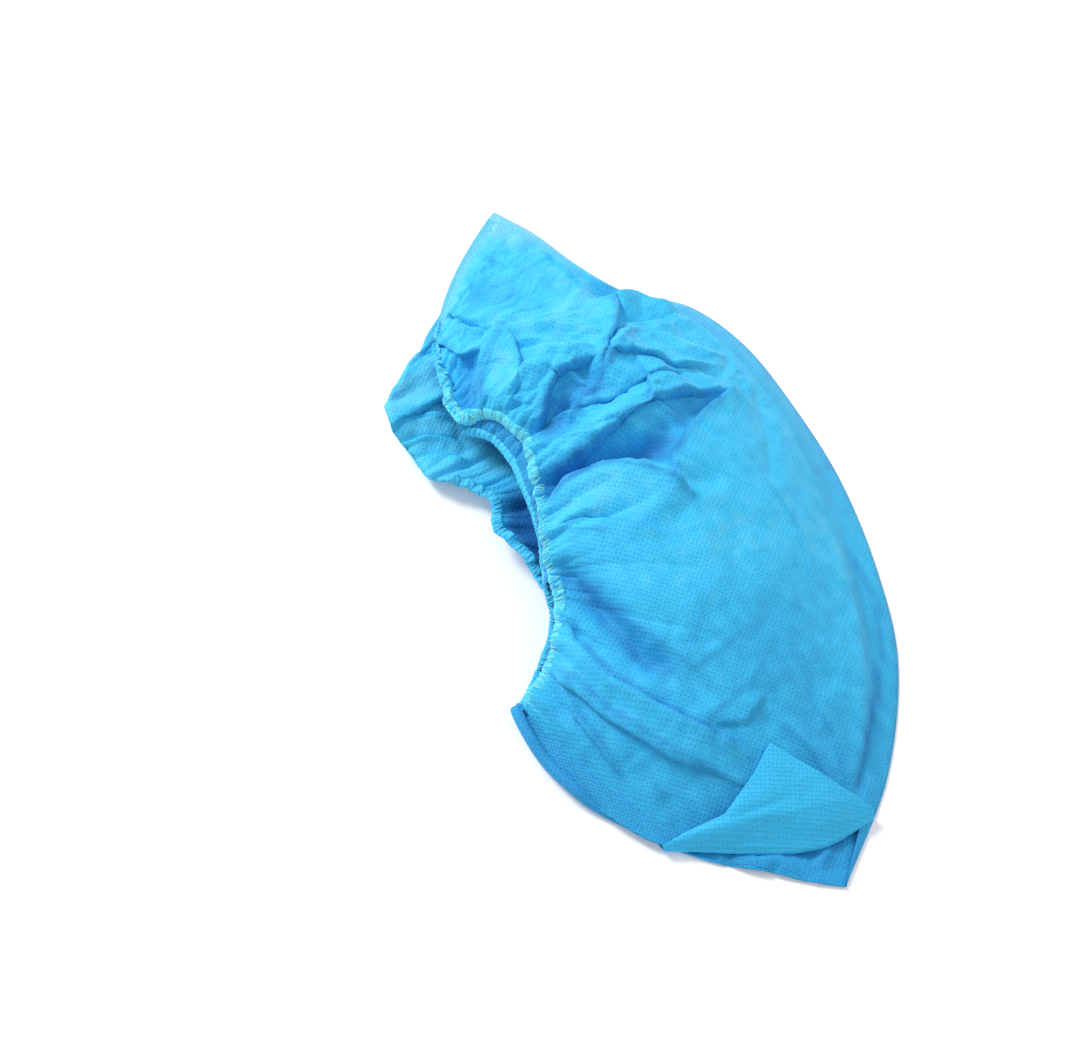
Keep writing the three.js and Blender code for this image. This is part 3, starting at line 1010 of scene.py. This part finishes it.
LOWER_FOLDS = (
    Fold(LEDGE, 3.4, 9, ((-80, 73), (-70, 78), (-56, 82), (-36, 87))),
    Fold(LEDGE, 3.6, 8, ((-28, 100), (-39, 104), (-47, 104), (-53, 100), (-70, 91))),
    Fold(RIDGE, -3.0, 4, ((-52, 108), (-38, 111), (-30, 107))),
    Fold(LEDGE, 2.8, 6, ((-48, 72), (-56, 76), (-64, 79), (-76, 76))),
    Fold(LEDGE, 2.2, 6, ((-50, 62), (-62, 67), (-75, 70))),
    Fold(LEDGE, 2.0, 6, ((-52, 51), (-62, 58), (-71, 60))),
    Fold(CREASE, 2.2, 4, ((2, -166), (14, -154), (22, -144))),
    Fold(CREASE, 1.6, 3, ((-6, -162), (6, -154), (14, -150))),
    Fold(RIDGE, 2.0, 5, ((-34, -146), (-12, -157), (4, -161))),
    Fold(CREASE, 2.2, 4, ((8, -168), (20, -158), (28, -148))),
)
FAR_GATHERS = (
    Gathers(3.2, 0.8, 8, 40),
    Gathers(5.0, 1.6, 14, 41),
    Gathers(9.4, 2.8, 26, 42),
    Gathers(17.0, 2.6, 40, 43),
)


@dataclass
class LowerLayer:
    """The far layer that lies on the floor, with a rolled toe edge and a lobe spread out beside the heel."""

    form: CoverForm
    steps_along: int = 330
    steps_across: int = 116
    roll_steps: int = 10
    turn_share: float = 0.94
    hem_columns: int = 14
    growth: float = 0.05
    kept: float = 0.6
    lowest: float = 0.5
    points: np.ndarray = field(init=False)
    rim: np.ndarray = field(init=False)
    inner: np.ndarray = field(init=False)

    def shape(self) -> np.ndarray:
        """Points of the layer.

        Across, the sheet runs from the sole fold to its outline, rising to a lip beside the open mouth; where the
        lobe is, it then tucks under itself. Along, the toe end starts with a half roll, a semicircle seen along the
        toe edge.

        Returns:
            Grid of points, shape (steps along and the roll's rows, steps across, 3).
        """
        s = np.linspace(0, 1, self.steps_along)[:, None]
        q = np.linspace(0, 1, self.steps_across)[None, :]
        v = np.clip(q / self.turn_share, 0, 1) + 0 * s
        points = self.form.lower(s, v)
        x, y = points[..., 0], points[..., 1]
        away, along = rim_distances(points)
        lobe = np.exp(-(((x + 60) / 21) ** 2 + ((y - 88) / 26) ** 2) ** 2)
        moves = sum(f.shift(x, y) for f in LOWER_FOLDS)
        tucked = smooth(SECTIONS.along("tuck", s), 0.5, 6)
        gathered = sum(g.lift(along + 0 * away, away) for g in FAR_GATHERS)
        lip = FAR_RIM.along("lip", s) * np.exp(-((away / 9) ** 2))
        lift = 5.5 * lobe + moves[..., 2] + lip + gathered * (1 - 0.75 * tucked) * smooth(s, 0.0, 0.05)
        lift = lift + 0.5 * (1 + ripple(x, y, 30, 15)) * smooth(v, 0.3, 0.6)
        lift = lift + Creases(60, (-58, 88), (14, 20), (10, 34), (2.5, 6), 1.1, 44, 0.3, 0.8).lift(x, y)
        lift = lift + Creases(40, (4, -156), (16, 9), (8, 24), (2.5, 6), 0.9, 45).lift(x, y)
        inside = smooth(v, 0.0, 0.12)
        points[..., 2] += np.maximum(lift, 0) * inside
        points[..., :2] += moves[..., :2] * (inside * (1 - smooth(v, 0.93, 1.0)))[..., None]
        points = self.with_tuck(points, s, q)
        self.rim = points[:, -1].copy()
        self.inner = points[:, -self.hem_columns].copy()
        self.points = np.concatenate([self.toe_roll(points), points])
        return self.points

    def with_tuck(self, points: np.ndarray, s: np.ndarray, q: np.ndarray) -> np.ndarray:
        """Turn the last columns back under the outline: a half circle down, then inwards by the tuck's length.

        Args:
            points: grid of points, changed in place.
            s: place of each row from toe (0) to heel (1).
            q: place of each column from the sole fold (0) to the end of the tuck (1).

        Returns:
            The same grid.
        """
        first = int(np.argmax(q[0] > self.turn_share)) - 1
        edge = points[:, first].copy()
        inward = beside(edge)
        tuck = np.maximum(SECTIONS.along("tuck", s), 0.4)
        turning = smooth(tuck, 0.3, 4)[:, None, :]
        f = np.linspace(0, 1, points.shape[1] - first)[None, :, None]
        floor = 0.6
        out = np.sin(math.pi * np.clip(f * 2, 0, 1)) * 0.6 * turning
        turned = edge[:, None, :] + inward[:, None, :] * (f * tuck[:, None, :] - out)
        turned[..., 2:3] -= (edge[:, 2:3] - floor)[:, None, :] * smooth(f, 0.0, 0.7) * turning
        points[:, first:] = turned
        return points

    def toe_roll(self, points: np.ndarray) -> np.ndarray:
        """Rows that carry the sheet round a half roll at the toe edge and back over its top.

        Args:
            points: grid of points, whose first row is the toe edge.

        Returns:
            The rows to put before the grid's first.
        """
        edge = points[0]
        outward = beside(edge)
        middle, inside_row = len(edge) // 2, 20
        outward *= np.sign(outward @ unit(edge[middle] - points[inside_row, middle]))[:, None]
        v = np.linspace(0, 1, len(edge))
        radius = (0.35 + 1.9 * smooth(v, 0.45, 0.62) * (1 - 0.5 * smooth(v, 0.93, 1.0)))[:, None]
        turn = np.linspace(math.pi, 0, self.roll_steps + 1)[:-1]
        rows = [edge + outward * radius * (np.sin(a) * 0.9) + np.array([0, 0, 1.0]) * radius * (1 - math.cos(a))
                for a in turn]
        over = rows[0] - outward * radius * 0.8
        return np.stack([over, *rows])

    def tone(self) -> np.ndarray:
        """Tone of the cloth: a little painted light from the lobe to the heel end, painted shade inside the mouth,
        over the toe end and its roll, and in the folds.

        Returns:
            Tone of each point, from 0 to 1.
        """
        x, y = self.points[..., 0], self.points[..., 1]
        # painted shade inside the mouth, lighter near the rim
        inside = smooth(x, -62, -50) * (1 - smooth(y, 20, 44)) * smooth(y, -50, -15)
        inside = inside * (0.35 + 0.65 * smooth(rim_distances(self.points)[0], 3, 13))
        # painted shade over the toe end, strongest towards the mouth, at the toe tip and on the roll
        toe = smooth(-y, 30, 70) * (0.75 + 0.45 * smooth(-x, 50, 70))
        toe += 0.35 * smooth(-y, 136, 150)
        toe[:self.roll_steps + 1] += 0.05
        # painted shade from the folds
        shade = 1.2 * sum(f.shade(x, y) for f in LOWER_FOLDS)
        # painted light: a little paler from the lobe to the heel end
        return np.clip(0.55 + 0.06 * smooth(y, 62, 90) - 0.5 * inside - 0.26 * toe - shade, 0, 1)

    def build(self) -> bpy.types.Object:
        """Make the mesh of the layer.

        Returns:
            The lower layer's object.
        """
        points = self.shape()
        piece = sheet_mesh("lower_layer", points, flat_places(points), self.tone())
        x, y = points[..., 0], points[..., 1]
        lobe = smooth(y, 50, 64) * (1 - smooth(y, 108, 118)) * smooth(-x, 30, 40)
        corner = smooth(-y, 138, 146) * (1 - smooth(-y, 164, 170))
        free = 0.97 * np.maximum(lobe, corner)
        share = np.full(free.shape, self.kept)
        self.points = Buckling(self.growth).run(piece, points, free, share, self.lowest)
        thicken(piece)
        return piece


CORNER = Table(
    "foldX foldY edgeX edgeY edgeZ",
    [
        (-55, -131, -55, -131, 4.5),
        (-44, -136, -45, -131, 8),
        (-32, -142, -30, -132, 12),
        (-20, -148, -15, -124, 16),
        (-9, -152, -4, -116, 19),
        (4, -154, 9, -134, 15),
        (23, -151, 23, -151, 6),
    ],
)


@dataclass
class TurnedCorner:
    """The toe corner of the upper layer, turned up over it."""

    steps_along: int = 120
    steps_across: int = 44
    clearance: float = 1.1
    fold_share: float = 0.12
    fold_radius: float = 1.5
    fold_height: float = 1.6
    bow: float = 2.6
    tone: float = 0.46
    toe_part: float = -100.0
    nearness: float = 2.0

    def shape(self, ground: np.ndarray) -> np.ndarray:
        """Points of the corner.

        A ruled sheet runs from the fold line to the free edge, bowed up between; the fold itself is a half round.
        The sheet comes nowhere nearer to the layer below than its clearance.

        Args:
            ground: points of the layer below.

        Returns:
            Grid of points, millimetres.
        """
        t = np.linspace(0.01, 0.99, self.steps_along)[:, None]
        r = np.linspace(0, 1, self.steps_across)[None, :]
        fold = np.concatenate([CORNER.along("foldX", t), CORNER.along("foldY", t)], axis=1)
        edge = np.concatenate([CORNER.between("edgeX", t), CORNER.between("edgeY", t)], axis=1)
        reach = np.clip((r - self.fold_share) / (1 - self.fold_share), 0, 1)[..., None]
        plan = fold[:, None] * (1 - reach) + edge[:, None] * reach
        over = unit(edge - fold)
        turn = np.clip(r / self.fold_share, 0, 1)[..., None] * math.pi
        plan = plan - over[:, None] * self.fold_radius * np.sin(turn)
        plan = plan + over[:, None] * 3 * (1 - np.clip(r / 0.04, 0, 1)[..., None])
        rise = self.fold_height + self.fold_radius * (1 - np.cos(turn[..., 0]))
        bow = self.bow * np.sin(math.pi * reach[..., 0]) * smooth(t, 0, 0.3) * smooth(1 - t, 0, 0.3)
        ruled = rise * (1 - reach[..., 0]) + CORNER.between("edgeZ", t) * reach[..., 0] + bow
        floor = self.height_below(plan, ground) + self.clearance
        z = np.where(r > self.fold_share, np.maximum(ruled, floor), np.maximum(rise, 1.2))
        points = np.concatenate([plan, z[..., None]], axis=-1)
        x, y = points[..., 0], points[..., 1]
        wave = Creases(30, (0, -138), (18, 10), (14, 44), (3, 8), 0.5, 51, heading=-0.4, turn=0.5).lift(x, y)
        arc = Fold(CREASE, 0.9, 2.5, ((-26, -136), (-10, -141), (6, -143), (18, -146))).shift(x, y)[..., 2]
        points[..., 2] += (np.abs(wave) + arc) * smooth(r, 0.15, 0.3)
        return points

    def height_below(self, plan: np.ndarray, ground: np.ndarray) -> np.ndarray:
        """Height of the highest point of the layer below within two millimetres, as seen from above.

        Args:
            plan: grid of places seen from above.
            ground: points of the layer below.

        Returns:
            Height at each place, millimetres.
        """
        flat = ground.reshape(-1, 3)
        flat = flat[(flat[:, 1] < self.toe_part) & (flat[:, 2] > 1.5)]
        wanted = plan.reshape(-1, 2)
        height = np.empty(len(wanted))
        for part in np.array_split(np.arange(len(wanted)), 24):
            gaps = ((wanted[part, None, :] - flat[None, :, :2]) ** 2).sum(-1)
            height[part] = np.where(gaps < self.nearness**2, flat[None, :, 2], 0.0).max(1)
        return height.reshape(plan.shape[:2])

    def build(self, ground: np.ndarray) -> bpy.types.Object:
        """Make the mesh of the turned-up corner.

        Args:
            ground: points of the upper layer that it lies on.

        Returns:
            The corner's object.
        """
        points = self.shape(ground)
        u = points[..., 0] * 0.94 + points[..., 1] * 0.34
        v = -points[..., 0] * 0.34 + points[..., 1] * 0.94
        piece = sheet_mesh("turned_corner", points, np.stack([u, v], axis=-1) * MM, np.full(u.shape, self.tone))
        thicken(piece)
        return piece


INNER_BAND = Table(
    "place x y z",
    [
        (0.30, -50.5, -20, 14), (0.40, -44.7, -2.6, 15), (0.47, -42.3, 7.3, 16), (0.53, -41.2, 16.1, 16),
        (0.61, -40, 28.4, 16), (0.67, -39.8, 36.9, 16), (0.72, -41.9, 48.7, 15.5), (0.78, -46.5, 55, 15),
        (0.83, -51, 59, 14),
    ],
)


@dataclass
class InnerPly:
    """The inner ply of the mouth that shows below the near hem: a short gathered wall with its own hem."""

    steps_along: int = 260
    steps_across: int = 16
    thickness: float = 0.3
    # a low tone: painted shade on the ply, which stands in the shade of the mouth
    tone: float = 0.24

    def shape(self, rim: np.ndarray) -> np.ndarray:
        """Points of the wall: straight from under the near rim to its own hem line, with small gathers.

        Args:
            rim: points of the near rim, one per even step of the place along the cover.

        Returns:
            Grid of points, millimetres.
        """
        s = np.linspace(INNER_BAND.places[0], INNER_BAND.places[-1], self.steps_along)
        at = np.linspace(0, 1, len(rim))
        top = np.stack([np.interp(s, at, rim[:, k]) for k in range(3)], axis=1) + np.array([0.6, 0, -1.0])
        low = np.stack([INNER_BAND.along(c, s) for c in "xyz"], axis=1)
        f = np.linspace(0, 1, self.steps_across)[None, :, None]
        points = top[:, None] * (1 - f) + low[:, None] * f
        along = run_length(low)[:, None]
        inward = unit(np.cross(np.gradient(points, axis=0), low[:, None] - top[:, None] + 1e-6))
        ruffle = sum(g.lift(along + 0 * f[..., 0], 0 * along + 10 * (1 - f[..., 0])) for g in
                     (Gathers(2.9, 0.7, 14, 71), Gathers(6.1, 1.0, 18, 72)))
        fade = np.sin(math.pi * f) * 0.6 + 0.4 * f
        return points + inward * ruffle[..., None] * fade

    def build(self, rim: np.ndarray) -> tuple[bpy.types.Object, np.ndarray, np.ndarray]:
        """Make the wall's mesh.

        Args:
            rim: points of the near rim.

        Returns:
            The wall's object, its lower edge, and points a few millimetres up from that edge.
        """
        points = self.shape(rim)
        piece = sheet_mesh("inner_ply", points, flat_places(points), np.full(points.shape[:2], self.tone))
        thicken(piece, self.thickness)
        return piece, points[:, -1], points[:, -6]


@dataclass
class ElasticHem:
    """The gathered band round the mouth, with ribs where the stitched cloth bunches over the elastic."""

    width: float = 5.0
    thickness: float = 1.8
    rib_pitch: float = 2.3
    spacing: float = 0.42
    smoothing: int = 15
    sides: int = 16
    level: float = 0.0

    def frame_of(self, rim: np.ndarray, inner: np.ndarray) -> tuple[np.ndarray, np.ndarray, np.ndarray]:
        """Even points on a rim with their directions, smoothed by a bell-shaped running mean.

        Args:
            rim: points of the rim.
            inner: points a few millimetres into the cloth, one for each rim point.

        Returns:
            The points, the unit directions into the cloth, and the unit directions out of it.
        """
        both = resample(np.concatenate([rim, inner], axis=1), self.spacing)
        window = np.hanning(self.smoothing + 2)[1:-1]
        window /= window.sum()
        padded = np.pad(both, ((self.smoothing // 2,) * 2, (0, 0)), mode="edge")
        both = np.stack([np.convolve(padded[:, k], window, mode="valid") for k in range(6)], axis=1)
        path, within = both[:, :3], both[:, 3:]
        tangent = unit(np.gradient(path, axis=0))
        inward = (within - path) * np.array([1, 1, 1 - self.level])
        inward = unit(inward - (inward * tangent).sum(1, keepdims=True) * tangent)
        up = unit(np.cross(tangent, inward))
        up *= np.where(up[:, 2:3] < 0, -1.0, 1.0)
        return path, inward, up

    def band(self, name: str, rim: np.ndarray, inner: np.ndarray, seed: int, width: float,
             shift: float, tone: float) -> bpy.types.Object:
        """A ribbed band along one rim.

        Half width and half thickness swell and shrink once per rib, each rib by its own amount.

        Args:
            name: the object's name.
            rim: points of the rim.
            inner: points a few millimetres into the cloth, one for each rim point.
            seed: seed of the ribs' differences.
            width: width of the band.
            shift: how far the band's middle lies in from the rim.
            tone: tone of the cloth.

        Returns:
            The band's object.
        """
        path, inward, up = self.frame_of(rim, inner)
        along = run_length(path)
        phase = along / self.rib_pitch + 0.3 * wander(along / 7, seed)
        rib = np.abs(np.sin(math.pi * phase)) ** 0.7
        each = 0.75 + 0.5 * np.random.default_rng(seed).random(2048)[np.floor(phase).astype(int) % 2048]
        half_height = self.thickness / 2 * (0.68 + 0.45 * rib * each)
        half_width = width / 2 * (0.92 + 0.12 * rib * each + 0.06 * wander(along / 11, seed + 3))
        ends = np.minimum(along, along[-1] - along)
        shrink = 0.15 + 0.85 * np.sqrt(np.clip(ends / 2.5, 0, 1))
        centre = path + inward * shift + up * (0.3 * wander(along / 9, seed + 4))[:, None]
        points = band_points(centre, inward, up, half_width * shrink, half_height * shrink, self.sides)
        points[..., 2] = np.maximum(points[..., 2], 0.15)
        u, v = np.meshgrid(along, np.linspace(0, 2 * width, self.sides), indexing="ij")
        # painted highlight on each rib's top and painted shade in the gaps between ribs
        shade = np.clip(tone + 0.18 * (rib[:, None] - 0.6) + 0 * v, 0, 1)
        piece = sheet_mesh(name, points, np.stack([u, v], axis=-1) * MM, shade, loop_across=True)
        close_ends(piece, len(points), self.sides)
        return piece

    def stitches(self, name: str, rim: np.ndarray, inner: np.ndarray, seed: int, width: float, shift: float,
                 span: tuple[float, float]) -> bpy.types.Object:
        """Overlock stitches over a band: short slanted bars of thread, arched over the ribs.

        Args:
            name: the object's name.
            rim: points of the rim.
            inner: points a few millimetres into the cloth.
            seed: seed of the stitches' differences.
            width: width of the band.
            shift: how far the band's middle lies in from the rim.
            span: the shares of the rim's length between which the stitches run.

        Returns:
            The stitches' object, one mesh.
        """
        path, inward, up = self.frame_of(rim, inner)
        length = run_length(path)
        rng = np.random.default_rng(seed)
        count = int(length[-1] * (span[1] - span[0]) / self.rib_pitch * 1.25)
        at = length[-1] * np.linspace(*span, count) + rng.normal(0, 0.15, count)
        pick = np.clip(np.searchsorted(length, at), 0, len(path) - 1)
        tangent = unit(np.gradient(path, axis=0))[pick]
        centre, side, above = path[pick] + inward[pick] * shift, inward[pick], up[pick]
        f = np.linspace(-1, 1, 7)
        half = width / 2 * rng.uniform(0.72, 1.0, count)
        slant = rng.normal(0.45, 0.15, count)
        arch = self.thickness / 2 * (1.12 - 0.75 * np.abs(f) ** 4)
        spine = (centre[:, None] + side[:, None] * (half[:, None] * f)[..., None]
                 + tangent[:, None] * (slant[:, None] * f)[..., None] + above[:, None] * arch[None, :, None])
        return many_tubes(name, spine, tangent, above, 0.30 * (1 - 0.5 * f**8))


def close_ends(piece: bpy.types.Object, count: int, sides: int) -> None:
    """Close the first and last ring of a tube with one face each, and point all faces outwards.

    Args:
        piece: the tube's object.
        count: how many rings it has.
        sides: how many points a ring has.
    """
    bm = bmesh.new()
    bm.from_mesh(piece.data)
    bm.verts.ensure_lookup_table()
    for start in (0, (count - 1) * sides):
        bm.faces.new([bm.verts[start + i] for i in range(sides)])
    bmesh.ops.recalc_face_normals(bm, faces=bm.faces)
    bm.to_mesh(piece.data)
    bm.free()


def many_tubes(name: str, spine: np.ndarray, across: np.ndarray, above: np.ndarray,
               radius: np.ndarray) -> bpy.types.Object:
    """One mesh of many short closed tubes, each a circle carried along its spine.

    Args:
        name: the object's name.
        spine: centres of the circles in millimetres, shape (tubes, steps, 3).
        across: first direction of each tube's circles, shape (tubes, 3).
        above: second direction of each tube's circles, shape (tubes, 3).
        radius: radius of the circle at each step.

    Returns:
        The object.
    """
    sides = 6
    turn = np.linspace(0, math.tau, sides, endpoint=False)
    ring = across[:, None, None] * np.cos(turn)[:, None] + above[:, None, None] * np.sin(turn)[:, None]
    tubes = spine[:, :, None] + ring * radius[None, :, None, None]
    count, steps = spine.shape[:2]
    index = np.arange(count * steps * sides).reshape(count, steps, sides)
    caps = np.concatenate([index[:, 0][:, ::-1], index[:, -1]])
    index = np.concatenate([index, index[:, :, :1]], axis=2)
    quads = np.stack([index[:, :-1, :-1], index[:, :-1, 1:], index[:, 1:, 1:], index[:, 1:, :-1]], axis=-1)
    mesh = bpy.data.meshes.new(name)
    mesh.from_pydata((tubes.reshape(-1, 3) * MM).tolist(), [], quads.reshape(-1, 4).tolist() + caps.tolist())
    mesh.polygons.foreach_set("use_smooth", np.ones(len(mesh.polygons), dtype=bool))
    bm = bmesh.new()
    bm.from_mesh(mesh)
    bmesh.ops.recalc_face_normals(bm, faces=bm.faces)
    bm.to_mesh(mesh)
    bm.free()
    return placed(name, mesh)


@dataclass
class ToeSeam:
    """The pressed seam strip at the toe, between the upper layer's end and the roll of the lower layer."""

    width: float = 8.0
    steps_across: int = 14
    spacing: float = 0.6
    span: tuple[float, float] = (0.42, 0.985)
    outer_height: float = 3.0
    thickness: float = 0.45
    # a low tone: painted shade on the strip, which lies in shade under the toe
    tone: float = 0.3

    def build(self, layer: np.ndarray) -> bpy.types.Object:
        """Lay the strip outwards from the upper layer's first row.

        Across the strip the height falls from the layer's edge to the roll in a straight line, with a small rounded
        bead at the outer edge.

        Args:
            layer: points of the upper layer.

        Returns:
            The seam's object.
        """
        first, last = (int(share * layer.shape[1]) for share in self.span)
        edge, inside = (resample(layer[row, first:last], self.spacing) for row in (0, 4))
        count = min(len(edge), len(inside))
        edge = edge[:count]
        outward = beside(edge)
        outward *= np.sign((outward * (edge - inside[:count])).sum(1).mean())
        t = np.linspace(0, 1, count)[:, None]
        f = np.linspace(-0.12, 1, self.steps_across)[None, :]
        width = self.width * smooth(t, -0.05, 0.35) * (1 - 0.65 * smooth(t, 0.78, 1.0))
        points = edge[:, None] + outward[:, None] * (width * f)[..., None]
        wave = 0.25 * ripple(points[..., 0], points[..., 1], 16, 81)
        top = edge[:, 2:3] * (1 - np.clip(f, 0, 1)) + self.outer_height * np.clip(f, 0, 1)
        points[..., 2] = np.maximum(top + wave + 0.6 * np.exp(-((f - 0.93) / 0.06) ** 2) + 0.25, 1.5)
        piece = sheet_mesh("toe_seam_strip", points, flat_places(points), np.full(points.shape[:2], self.tone))
        thicken(piece, self.thickness)
        return piece


@dataclass
class HeelSeam:
    """The pressed seam strip at the heel, with its row of weld dots."""

    width_share: float = 0.022
    span: tuple[float, float] = (0.10, 0.93)
    dot_pitch: float = 3.2
    dot_height: float = 0.12
    rise: float = 0.32
    thickness: float = 0.2
    tone: float = 0.68

    def build(self, layer: np.ndarray) -> bpy.types.Object:
        """Lay a strip on the upper layer's last rows.

        Args:
            layer: points of the upper layer.

        Returns:
            The seam's object.
        """
        first, last = (int(share * layer.shape[1]) for share in self.span)
        strip = layer[int((1 - self.width_share) * len(layer)):, first:last].copy()
        shape = strip.shape[:2]
        dots = np.maximum(0, np.sin(math.pi * np.arange(1, shape[1] + 1) / self.dot_pitch)) ** 2 + np.zeros(shape)
        dots[-1] = 0
        outer = np.linspace(0, 1, len(strip))[:, None]
        strip[..., 2] += self.rise * smooth(outer, 0, 0.6) + self.dot_height * dots
        piece = sheet_mesh("heel_seam_strip", strip, flat_places(strip), np.full(shape, self.tone))
        thicken(piece, self.thickness)
        return piece


# ---- studio ----


@dataclass(frozen=True)
class Studio:
    """Pale floor, soft light and the camera."""

    azimuth: float = -24.3
    elevation: float = 58.0
    distance: float = 0.84
    lens: float = 70.0
    aim: tuple[float, float, float] = (-0.0368, 0.0156, 0.0)
    floor_half: float = 6.0
    floor_grey: float = 0.93
    floor_glow: float = 0.12
    sky: float = 0.55

    def build(self) -> None:
        """Make the floor, the world's light, the lamps and the camera."""
        self.floor()
        self.world()
        self.lamp("key", (-0.55, 1.05, 1.08), 0.5, 20.0)
        self.lamp("fill", (0.9, -0.4, 0.9), 1.2, 3.5)
        self.camera()

    def floor(self) -> None:
        """A wide white floor at z = 0."""
        mesh = bpy.data.meshes.new("floor")
        half = self.floor_half
        mesh.from_pydata([(-half, -half, 0), (half, -half, 0), (half, half, 0), (-half, half, 0)], [], [(0, 1, 2, 3)])
        floor = placed("floor", mesh)
        material = bpy.data.materials.new("floor_white")
        material.use_nodes = True
        paint = {"Base Color": (*(self.floor_grey,) * 3, 1), "Roughness": 0.9, "Specular IOR Level": 0.1,
                 "Emission Color": (1, 1, 1, 1), "Emission Strength": self.floor_glow}
        for name, value in paint.items():
            material.node_tree.nodes["Principled BSDF"].inputs[name].default_value = value
        mesh.materials.append(material)

    def world(self) -> None:
        """Even white light from all round."""
        world = bpy.data.worlds.new("soft_white")
        world.use_nodes = True
        background = world.node_tree.nodes["Background"]
        background.inputs["Color"].default_value = (1, 1, 1, 1)
        background.inputs["Strength"].default_value = self.sky
        bpy.context.scene.world = world

    def lamp(self, name: str, place: tuple[float, float, float], size: float, power: float) -> None:
        """A square soft lamp aimed at the cover.

        Args:
            name: the lamp's name.
            place: where it hangs, metres.
            size: side of the square, metres.
            power: watts.
        """
        light = bpy.data.lights.new(name, "AREA")
        light.size = size
        light.energy = power
        lamp = placed(name, light)
        lamp.location = place
        lamp.rotation_euler = (Vector((0, 0, 0)) - Vector(place)).to_track_quat("-Z", "Y").to_euler()

    def camera(self) -> None:
        """The camera, above and in front, turned a little to the left."""
        a, e = math.radians(self.azimuth), math.radians(self.elevation)
        back = Vector((math.sin(a) * math.cos(e), -math.cos(a) * math.cos(e), math.sin(e)))
        data = bpy.data.cameras.new("camera")
        data.lens = self.lens
        data.sensor_width = 36.0
        data.clip_start, data.clip_end = 0.01, 50.0
        camera = placed("camera", data)
        camera.location = Vector(self.aim) + back * self.distance
        camera.rotation_mode = "QUATERNION"
        camera.rotation_quaternion = (-back).to_track_quat("-Z", "Y")
        bpy.context.scene.camera = camera
        bpy.context.scene.view_settings.view_transform = "Standard"


def report(piece: bpy.types.Object) -> bpy.types.Object:
    """Log a piece's name and face count, and hand it on."""
    LOG.info("%s: %d faces", piece.name, len(piece.data.polygons))
    return piece


def main() -> None:
    """Build the studio, then the cover from the floor up."""
    logging.basicConfig(level=logging.INFO, format="%(name)s %(message)s")
    Studio().build()
    form = CoverForm()
    cloth, hem_cloth, seam_cloth = CLOTH.make(), HEM_CLOTH.make(), SEAM_CLOTH.make()
    cream, pale_blue = CREAM_THREAD.make(), BLUE_THREAD.make()

    lower = LowerLayer(form)
    under = report(lower.build())
    dress(under, cloth)
    upper = UpperLayer(form)
    over = report(upper.build())
    dress(over, cloth)
    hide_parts("cover_body")
    corner = report(TurnedCorner().build(upper.points))
    dress(corner, cloth)

    hem, far_hem = ElasticHem(), ElasticHem(level=0.85, rib_pitch=2.0)
    near_rim, near_inner = upper.points[:, -1], upper.points[:, -6]
    near = report(hem.band("near_hem", near_rim, near_inner, seed=61, width=hem.width, shift=1.8, tone=0.85))
    far = report(far_hem.band("far_hem", lower.rim, lower.inner, seed=62, width=4.6, shift=1.7, tone=0.5))
    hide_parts("elastic_hem")
    near_thread = report(hem.stitches("near_stitches", near_rim, near_inner, seed=63, width=hem.width, shift=1.8,
                                      span=(0.03, 0.80)))
    far_thread = report(far_hem.stitches("far_stitches", lower.rim, lower.inner, seed=64, width=4.2, shift=1.7,
                                         span=(0.08, 0.80)))
    ply, ply_rim, ply_inner = InnerPly().build(near_rim)
    report(ply)
    dress(ply, cloth)
    frill = report(hem.band("inner_hem", ply_rim, ply_inner, seed=65, width=3.8, shift=1.2, tone=0.62))
    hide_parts("hem_frill")
    for piece in (near, far, frill):
        dress(piece, hem_cloth)
    dress(near_thread, cream)
    dress(far_thread, pale_blue)

    toe, heel = report(ToeSeam().build(upper.points)), report(HeelSeam().build(upper.points))
    for piece, node in ((toe, "toe_seam"), (heel, "heel_seam")):
        dress(piece, seam_cloth)
        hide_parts(node)


if __name__ == "__main__":
    main()
